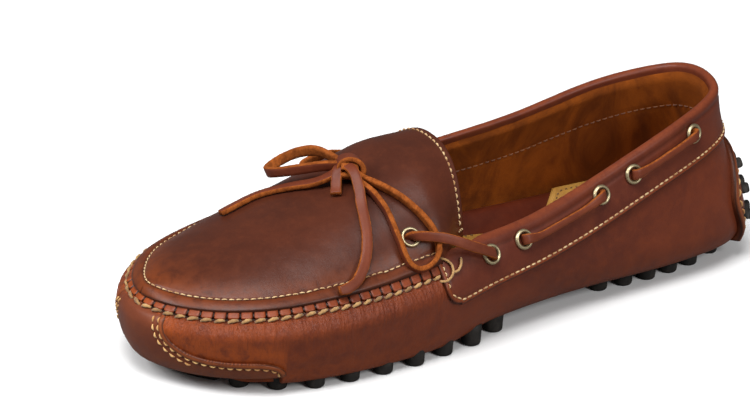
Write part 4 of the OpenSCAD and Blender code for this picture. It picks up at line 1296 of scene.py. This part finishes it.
def make_pucker_thread():
    """One thick dash of waxed thread under each pleat, ending in a loose loop at each collar tip."""
    parts, dashes = [], []
    last = int(pleat_phase(TOE + PUCKER_END))
    first = int(pleat_phase(TOE - PUCKER_END))
    for k in range(first, last + 1):
        tilt = 0.5 + 0.25 * (random_at(k, 5) - 0.5)
        reach = 0.37 + 0.04 * random_at(k, 6)
        ends = [pleat_place(k - reach), pleat_place(k + reach)]
        lift = 0.7 * tilt * np.sign(k + 0.5)
        drops = [thread_drop(ends[0]) + lift, thread_drop(ends[1]) - lift]
        a, b = (wall(t, seam_z(t) - drop, 0.1) for t, drop in zip(ends, drops))
        middle = pleat_place(k)
        normal = wall_normal(middle, seam_z(middle) - thread_drop(middle))
        dashes.append((a, b, normal))
    for side in (-1, 1):
        for loop in THREAD_LOOPS:
            path = smooth([seam_point(w, side, depth, d) for w, depth, d in loop], 10)
            parts.append(cord(path, 0.5))
    thread_mesh = ringed("pucker_thread", stitch_rings(dashes, 0.74, 0.55, 2.0) + parts, WAXED_THREAD)
    return finish_part(thread_mesh, None, "waxed_thread", "pucker_thread_rear", "pucker_thread_toe")


def apron_line(inset, start, end):
    """Points on the apron a set distance in from its edge: down one side, round the toe, up the other."""
    w = apron_rows(start, end, 1.2)
    sides = {1: [], -1: []}
    line = apron_outline()
    u = np.linspace(0, 1, 160)
    for side in sides:
        for place in w[::-1]:
            p = apron(np.full(160, place), side * u)
            e = distance_to(p, line)
            if e[0] > inset:
                sides[side].append(p[int(np.argmin(np.abs(e - inset)))])
    return np.array(sides[1] + sides[-1][::-1])


def make_apron_thread(apron_mesh):
    path = apron_line(LIP_WIDTH, 0.1, 4.9)
    runs = row_of_stitches(surface_of(apron_mesh), path, 2.75, 0.72)
    sew = stitches("apron_thread", runs, 0.29, CREAM_THREAD, 0.3)
    return finish_part(sew, None, "thread", "apron_stitching_rear", "apron_stitching_toe")


def make_tongue_thread(tongue):
    u = np.linspace(-0.985, 0.985, 60)
    end = apron(np.full(60, APRON_END - 0.1), u)
    tree = surface_of(tongue)
    runs = row_of_stitches(tree, end, 2.7, 0.72)
    for corner in (end[0], end[-1]):
        place, normal = snap(tree, corner)
        for k in range(3):
            shift = np.array([0, 0.7 * (k - 1), 0.4 * (k - 1)])
            runs.append((place + shift - [1.1, 0, 0], place + shift + [1.1, 0, 0.4], normal))
    sew = stitches("tongue_thread", runs, 0.36, CREAM_THREAD, 0.34)
    return finish_part(sew, None, "thread", "tongue_stitching")


# ---- Rubber ----

def peg_profile():
    """A round peg with a soft bottom edge and a fillet up to its plate."""
    r = 1.1
    turn = np.linspace(0, math.pi / 2, 7)
    round_edge = [[PEG_R - r + r * math.sin(a), r - r * math.cos(a)] for a in turn]
    return ([[0.02, 0.35], [1.6, 0.12], [2.4, 0.0]] + round_edge[1:]
            + [[PEG_R + 0.12, 3.5], [PEG_NECK_R, 6.6], [PEG_NECK_R, PLATE_Z + 0.5], [0.02, PLATE_Z + 0.5]])


def tie_profile():
    return [[0.02, PEG_HEIGHT - 1], [2.5, PEG_HEIGHT - 1], [2.5, PLATE_Z + 0.5], [0.02, PLATE_Z + 0.5]]


def peg_spots(rows, pitch):
    return [[x - k * pitch, HEEL_Y - s] for s, x, count in rows for k in range(count)]


HEEL_ROWS = [[78, 20, 4], [66, 21, 4], [54, 21, 4], [42, 20, 4], [30, 18, 3]]
BALL_ROWS = [[137.8, 31, 2], [152.4, 37, 3], [167, 39, 5], [181.6, 41, 6], [196.2, 41, 6], [210.8, 40, 6]]
TOE_ROWS = [[225.4, 38, 6], [238.6, 32, 5], [250.4, 23, 4]]


def plate_rings(start, end):
    """A flat plate inside the underside, as rings across it."""
    rows = 60
    y = HEEL_Y - np.linspace(start, end, rows)
    t = np.linspace(0, TOE, 500)
    right = floor_outline(PLATE_Z, PLATE_EDGE, t)
    left = floor_outline(PLATE_Z, PLATE_EDGE, -t)
    a = np.interp(-y, -right[:, 1], right[:, 0])
    b = np.interp(-y, -left[:, 1], left[:, 0])
    low, high = np.full(rows, PLATE_Z), np.full(rows, PLATE_TOP)
    corners = [[a, low], [a, high], [b, high], [b, low]]
    return np.stack([np.stack([x, y, z], 1) for x, z in corners], 1)


def bar_rings(t, inward):
    """A curved bar under the edge of the sole, rounded along both lower edges."""
    top, half, r = PEG_HEIGHT - 0.1, 4.5, 2.2
    turn = np.linspace(0, math.pi / 2, 6)
    section = [[half, top]] + [[half - r + r * math.cos(a), r - r * math.sin(a)] for a in turn]
    section += [[-x, z] for x, z in section[::-1]]
    f = np.linspace(0, 1, len(t))
    shrink = np.sqrt(np.clip(1 - (np.maximum(np.abs(f - 0.5) - 0.47, 0) / 0.03) ** 2, 0.1, 1))
    base = wall(t, np.full(len(t), PEG_HEIGHT), -inward)
    nx, ns = outward(t)
    rings = []
    for x, z in section:
        p = base + np.stack([nx, -ns, 0 * nx], 1) * (x * shrink)[:, None]
        p[:, 2] = z
        rings.append(p)
    return np.stack(rings, 1)


def make_rubber(place, body, rows, pitch, plate, bar=()):
    """Pegs on their plate, and a curved bar as [stations, distance in, ties] where there is one."""
    rings = [lathe(peg_profile(), [x, y, 0], [0, 0, 1], 28) for x, y in peg_spots(rows, pitch)]
    if bar:
        along, inward, ties = bar
        for p in [wall(t, PEG_HEIGHT, -inward) for t in ties]:
            rings.append(lathe(tie_profile(), [p[0], p[1], 0], [0, 0, 1], 20))
    rings.append(plate_rings(*plate))
    if bar:
        rings.append(bar_rings(along, inward))
    pegs = ringed(place + "_pegs", rings, RUBBER)
    finish_part(pegs, body, "rubber", place + "_peg_plate")


def make_sole():
    heel_bar = (np.linspace(-1.03, 1.13, 60), 5.0, (-0.7, 0, 0.7))
    toe_bar = (np.linspace(10.72, 13.3, 70), 11.0, (11.3, 12, 12.7))
    make_rubber("heel", "rearfoot", HEEL_ROWS, 13.5, (6.5, 86), heel_bar)
    make_rubber("ball", "rearfoot", BALL_ROWS, 15, (131, 215.9))
    make_rubber("toe", "forefoot", TOE_ROWS, 15, (219.1, 278.5), toe_bar)


def make_heel_back_pegs():
    """The small rubber domes on the back of the heel, on a thin plate behind the patch."""
    r, out = 2.3, HEEL_PATCH_OUT + 3 - HEEL_PLATE_IN
    turn = np.linspace(0, math.pi / 2, 7)
    dome = [[r - 1.0 + math.cos(a), out - 1.2 + 1.2 * math.sin(a)] for a in turn]
    profile = [[0.02, 0], [r, 0], [r, out - 1.2]] + dome + [[0.02, out]]
    parts = [lathe(profile, wall(t, z, HEEL_PLATE_IN), wall_normal(t, z), 24) for t, z in heel_peg_spots()]
    t = np.linspace(-1.25, 1.25, 30)
    z = np.linspace(HEEL_PATCH_LOW + 5, 43, 20)
    front = wall(t[:, None], z[None], HEEL_PLATE_OUT)
    back = wall(t[:, None], z[None, ::-1], HEEL_PLATE_IN)
    parts.append(np.concatenate([front, back], 1))
    finish_part(ringed("heel_back_pegs", parts, RUBBER), "rearfoot", "rubber", "heel_back_peg_plate")


# ---- Eyelets ----

def eyelet_profile(sheet_thick):
    """A rolled ring: domed flange outside, barrel through the leather, curled rim inside."""
    bore, barrel, flange = EYELET_BORE, EYELET_BORE + 0.5, EYELET_FLANGE
    high = sheet_thick / 2 + 0.15
    middle, half = (bore + flange) / 2, (flange - bore) / 2
    dome = [[middle - half * math.cos(a), high + 1.15 * math.sin(a)] for a in np.linspace(0.0, math.pi, 15)]
    low = -sheet_thick / 2
    return dome + [[flange - 0.25, high - 0.15], [barrel, high - 0.1], [barrel, low - 0.35],
                   [barrel + 0.7, low - 0.5], [barrel + 0.8, low - 0.8], [barrel + 0.4, low - 1.1],
                   [bore, low - 0.9]]


def eyelet_places():
    return OUTER_EYELETS + [COUNT - t for t in OUTER_EYELETS]


def collar_eyelet(t):
    z = top_z(t) - EYELET_DROP
    return wall(t, z, (COLLAR_OUT + COLLAR_IN) / 2), wall_normal(t, z, COLLAR_OUT)


APRON_EYELET = (4.42, 0.86)


def make_eyelets():
    rings = []
    for t in eyelet_places():
        place, normal = collar_eyelet(t)
        rings.append(lathe(eyelet_profile(COLLAR_OUT - COLLAR_IN), place, normal, 40))
    collar_rings = ringed("collar_rings", rings, BRASS, looped=True)
    finish_part(collar_rings, "rearfoot", "antique_brass", "collar_eyelets")
    rings = []
    for side in (-1, 1):
        w, u = APRON_EYELET[0], side * APRON_EYELET[1]
        place, normal = apron(w, u), apron_normal(w, u)
        rings.append(lathe(eyelet_profile(LEATHER), place - normal * LEATHER / 2, normal, 40))
    apron_rings = ringed("apron_rings", rings, BRASS, looped=True)
    finish_part(apron_rings, "rearfoot", "antique_brass", "apron_eyelets")


# ---- Lace and bow ----

KNOT = (4.3, 0.04, 5.0)
LACE_HOLE = 0.12
LACE_OUTSIDE, LACE_INSIDE = 3.9, -1.8
EYELET_MOUTH, EYELET_BACK = 3.05, -2.9
BOW_THICK = 2.0

# The outer loop hangs in a plane that rests on the side of the apron: [down the slope, toward the heel]
# from the knot, in mm
LOOP_REST = (4.3, 0.8)
OUTER_LOOP = [[0.5, 0.5], [7, 1.2], [15, 4.2], [24, 7.8], [33, 10.3], [40, 10.4], [45, 7.8], [47.6, 2.6],
              [46.6, -2.4], [42, -5], [35, -3.4], [26, -0.6], [17, 0.2], [8, -0.8], [0.5, -0.5]]
# The other strands, each point [stations from the toe, place across the apron, height over it]
INNER_LOOP = [[4.27, -0.04, 6.4], [4.28, -0.24, 6.4], [4.25, -0.42, 7.6], [4.1, -0.6, 8.2],
              [3.88, -0.7, 7.6], [3.68, -0.62, 6.6], [3.7, -0.47, 6.2], [3.88, -0.31, 6.1],
              [4.08, -0.17, 6.2], [4.24, -0.03, 6.3]]
OUTER_END = [[4.26, 0.03, 7.6], [4.24, 0.17, 7.2], [4.15, 0.31, 4.6], [4.05, 0.43, 2.5], [3.97, 0.55, 1.8],
             [3.85, 0.72, 1.7], [3.7, 0.86, 1.8], [3.52, 0.95, 2.7], [3.34, 0.985, 3.7], [3.2, 0.99, 4.1]]
INNER_END = [[4.22, -0.03, 4.8], [4.02, -0.06, 3.6], [3.85, -0.16, 2.0], [3.6, -0.34, 1.6],
             [3.3, -0.5, 1.5], [3.0, -0.52, 1.5], [2.75, -0.52, 1.5]]
STUB = [[4.25, -0.02, 6.6], [4.15, 0.0, 6.0], [4.06, 0.05, 4.0], [3.98, 0.11, 2.2], [3.92, 0.16, 1.6]]


def on_apron(places):
    v = np.array(places)
    return above(v[:, 0], v[:, 1], v[:, 2]), apron_normal(v[:, 0], v[:, 1])


def standing(places, **shape):
    """A strand that stands on its edge over the apron."""
    return ribbon_rings(*on_apron(smooth(places, 4)), **shape)


def clear_of_apron(points, gap):
    """Raises points off the apron where they are nearer to it than the gap."""
    w, u = np.meshgrid(np.linspace(1.5, 5, 141), np.linspace(0, 1.3, 53), indexing="ij")
    places, normals = apron(w, u).reshape(-1, 3), apron_normal(w, u).reshape(-1, 3)
    nearest = np.argmin(np.linalg.norm(points[:, None] - places[None], axis=2), axis=1)
    height = ((points - places[nearest]) * normals[nearest]).sum(1)
    lift = np.maximum(gap - height, 0)
    lift = np.convolve(np.pad(lift, 4, "edge"), np.ones(9) / 9, "valid")
    return points + normals[nearest] * lift[:, None]


def hanging(places, **shape):
    """A strand that stands on its edge in the plane of the outer loop."""
    normal = apron_normal(*LOOP_REST)
    down = unit(np.array([1, 0, 0]) - normal * normal[0])
    across = np.cross(normal, down)
    v = smooth(places, 4)
    lift = 1.8 * ease((v[:, 0] - 6) / 20) - 1.5 * ease((v[:, 0] - 36) / 12)
    p = above(*KNOT) + down * v[:, :1] + across * v[:, 1:] + normal * lift[:, None]
    p = clear_of_apron(p, 2.9)
    return ribbon_rings(p, np.broadcast_to(normal, p.shape), **shape)


def lying(places, **shape):
    """A strand that lies flat over the apron, smooth face up."""
    p, normal = on_apron(smooth(places, 4))
    return ribbon_rings(p, unit(np.cross(np.gradient(p, axis=0), normal)), face_up=False, **shape)


def up_wall(t, z):
    return unit(wall(t, z + 1, 0) - wall(t, z - 1, 0))


def through_collar(t, out):
    """A lace point in an eyelet: out mm along its axis."""
    place, normal = collar_eyelet(t)
    return np.concatenate([place + normal * out, up_wall(t, top_z(t) - EYELET_DROP)])


def collar_run(a, b, d):
    n = max(2, int(round(abs(b - a) / 0.25)))
    t = a + (b - a) * np.arange(1, n) / n
    z = top_z(t) - EYELET_DROP
    pulled = 0.68 if d > 0 else 1.0
    return list(np.hstack([wall(t, z, d), up_wall(t, z) * pulled]))


def under_apron(side):
    """The lace below the apron, from the hole by the knot to its eyelet."""
    f = np.linspace(0, 1, 6)
    u = side * (LACE_HOLE + (APRON_EYELET[1] - LACE_HOLE) * f)
    w = KNOT[0] + (APRON_EYELET[0] - KNOT[0]) * f
    along = unit(apron(w - 0.05, u) - apron(w + 0.05, u))
    return list(np.hstack([above(w, u, np.full(6, -LEATHER - 2.2)), along]))


def lace_half(side):
    """One half of the lace: under the apron, up through its eyelet and round the collar to the heel."""
    e = [t if side > 0 else COUNT - t for t in OUTER_EYELETS[::-1]]
    heel = 0.25 if side > 0 else COUNT - 0.25
    w, u = APRON_EYELET[0], side * APRON_EYELET[1]
    start = above(w, u, 2.7)
    finish = through_collar(e[0], EYELET_MOUTH)[:3]
    along = unit(apron(w - 0.05, u) - apron(w + 0.05, u))
    facing = [-0.3 * side, 0.2, 0.93]
    path = under_apron(side) + [np.concatenate([start, unit(along + facing)])]
    path.append(np.concatenate([start * 0.67 + finish * 0.33 + [side * 3, 0, 2.8], facing]))
    path.append(np.concatenate([start * 0.33 + finish * 0.67 + [side * 3.5, 0, 2.0], facing]))
    going_in = True
    for k, t in enumerate(e):
        ends = (EYELET_MOUTH, EYELET_BACK) if going_in else (EYELET_BACK, EYELET_MOUTH)
        path += [through_collar(t, out) for out in ends]
        following = e[k + 1] if k + 1 < len(e) else heel
        path += collar_run(t, following, LACE_INSIDE if going_in else LACE_OUTSIDE)
        going_in = not going_in
    return path


def make_lace():
    z = top_z(0.0) - EYELET_DROP
    back = np.concatenate([wall(0.0, z, LACE_INSIDE), up_wall(0.0, z)])
    path = np.array(lace_half(1) + [back] + lace_half(-1)[::-1])
    lace = laces("collar_lace", [ribbon_rings(path[:, :3], path[:, 3:])])
    finish_part(lace, "rearfoot", "rawhide_lace", "lace")


def knot_band():
    """The strand wrapped over the knot, flesh side out."""
    centre = above(*KNOT)
    right = unit([0.56, 0.83, 0])
    facing = unit([0.83, -0.56, 0.1])
    up = np.cross(right, -facing)
    up = up * np.sign(up[2])
    a = np.linspace(math.radians(250), math.radians(-45), 26)
    p = centre + right * (np.cos(a) * 4.9)[:, None] + up * (np.sin(a) * 4.1 + 0.2)[:, None]
    p = p + facing * (1.2 * np.cos(a))[:, None]
    return ribbon_rings(p, np.broadcast_to(facing, p.shape) + right * 0.25, 6.2, 2.0, False)


def knot_core():
    """The strand inside the knot, smooth side out."""
    centre = above(*KNOT)
    facing, right = unit([0.83, -0.56, 0]), unit([0.56, 0.83, 0])
    a = np.linspace(math.radians(20), math.radians(350), 26)
    p = centre + facing * (np.cos(a) * 3.4)[:, None]
    p = p + np.array([0, 0, 1.0]) * (np.sin(a) * 2.9 - 0.4)[:, None]
    return ribbon_rings(p, np.broadcast_to(right, p.shape), 7.0, 2.2, True)


def make_bow():
    knot = laces("bow_knot", [knot_band(), knot_core(), lying(STUB, thick=BOW_THICK, width=4.4)])
    finish_part(knot, "rearfoot", "rawhide_lace", "lace_knot")
    outer = laces("outer_loop", [hanging(OUTER_LOOP, thick=BOW_THICK, face_up=False)])
    finish_part(outer, "bow_loop_outer", "rawhide_lace", "bow_loop_outer")
    inner = laces("inner_loop", [standing(INNER_LOOP, thick=BOW_THICK)])
    finish_part(inner, "bow_loop_inner", "rawhide_lace", "bow_loop_inner")
    ends = laces("loose_ends", [lying(v, thick=BOW_THICK, taper=0.2) for v in (OUTER_END, INNER_END)])
    return finish_part(ends, None, "rawhide_lace", "lace_ends")


# ---- Putting the shoe together ----

TOE_FOLD = (14.0, -14.0)
TONGUE_FOLD = (-7.0, 4.0)


def fold(body, line, start, end, *pieces):
    """Bakes each piece's transform into its mesh; the body, the line across the shoe and the two distances
    from it are not used.
    """
    for piece in pieces:
        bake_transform(piece)


def make_shoe():
    apron_mesh, tongue = make_apron(), make_tongue()
    across_toe_line = [make_wrap(), apron_mesh, make_insole(), make_pucker_thread(),
                       make_apron_thread(apron_mesh), make_bow()]
    fold("forefoot", BEND_Y, *TOE_FOLD, *across_toe_line)
    fold("tongue_flap", TONGUE_Y, *TONGUE_FOLD, tongue, make_tongue_thread(tongue))
    make_toe_patch()
    make_heel_patch()
    make_back_stay()
    make_collar()
    make_lining()
    make_counter()
    make_sock()
    make_sole()
    make_heel_back_pegs()
    make_eyelets()
    make_lace()


# ---- Stage, lights and camera ----

def stage_material():
    """Pale paper that throws less light back at the shoe than it shows to the camera."""
    look = Look("paper")
    seen = look.add("ShaderNodeLightPath").outputs["Is Camera Ray"]
    colour = look.mix(seen, (0.22, 0.22, 0.22, 1), (0.95, 0.95, 0.95, 1))
    return look.finish(Base_Color=colour, Roughness=0.9, Specular_IOR_Level=0.1)


def make_stage():
    """The floor under the shoe."""
    half = 6.0
    mesh = bpy.data.meshes.new("paper_floor")
    corners = [(x, y, 0) for x, y in ((-half, -half), (half, -half), (half, half), (-half, half))]
    mesh.from_pydata(corners, [], [[0, 1, 2, 3]])
    mesh.materials.append(stage_material())
    floor = bpy.data.objects.new("paper_floor", mesh)
    bpy.context.scene.collection.objects.link(floor)


WORLD_GLOW = 0.16


def toward(azimuth, elevation):
    """Direction from the shoe to a lamp or the camera; azimuth 0 is in front of the toe."""
    flat = math.cos(elevation)
    return Vector((math.sin(azimuth) * flat, -math.cos(azimuth) * flat, math.sin(elevation)))


def softbox(name, azimuth, elevation, distance, size, power):
    """A rectangular lamp aimed at the shoe, its place in degrees and metres and its power in watts."""
    direction = toward(math.radians(azimuth), math.radians(elevation))
    light = bpy.data.lights.new(name, "AREA")
    light.shape, light.size, light.size_y, light.energy = "RECTANGLE", size[0], size[1], power
    lamp = bpy.data.objects.new(name, light)
    lamp.location = direction * distance
    lamp.rotation_mode = "QUATERNION"
    lamp.rotation_quaternion = (-direction).to_track_quat("-Z", "Y")
    bpy.context.scene.collection.objects.link(lamp)


def make_lights():
    """A white backdrop that throws little light on the shoe, and three softboxes."""
    world = bpy.data.worlds.new("studio")
    world.use_nodes = True
    tree = world.node_tree
    seen = tree.nodes.new("ShaderNodeLightPath").outputs["Is Camera Ray"]
    strength = tree.nodes.new("ShaderNodeMapRange")
    tree.links.new(seen, strength.inputs["Value"])
    strength.inputs["To Min"].default_value = WORLD_GLOW
    background = tree.nodes["Background"]
    background.inputs["Color"].default_value = (1, 1, 1, 1)
    tree.links.new(strength.outputs[0], background.inputs["Strength"])
    bpy.context.scene.world = world
    softbox("overhead", 40, 66, 1.5, (0.8, 0.8), 22)
    softbox("front_left", -10, 40, 1.5, (0.5, 0.6), 13)
    softbox("front_right", 100, 32, 1.6, (0.5, 0.5), 11)


def make_camera():
    """The camera: its place round the shoe, its tilt and its lens."""
    azimuth, elevation, roll = (math.radians(v) for v in (56, 24, 2))
    distance, target = 1.3, Vector((0, -0.0064, 0.035))
    back = toward(azimuth, elevation)
    level = Vector((math.cos(azimuth), math.sin(azimuth), 0))
    upright = back.cross(level)
    right = level * math.cos(roll) + upright * math.sin(roll)
    up = upright * math.cos(roll) - level * math.sin(roll)
    data = bpy.data.cameras.new("camera")
    data.sensor_width, data.lens = 36, 155.04
    data.shift_x, data.shift_y = -0.0813, 0.030
    data.clip_start, data.clip_end = 0.05, 10
    camera = bpy.data.objects.new("camera", data)
    turn = Matrix((right, up, back)).transposed().to_4x4()
    camera.matrix_world = Matrix.Translation(target + back * distance) @ turn
    bpy.context.scene.collection.objects.link(camera)
    bpy.context.scene.camera = camera


make_shoe()
make_stage()
make_lights()
make_camera()
bpy.context.scene.view_settings.view_transform = "Standard"
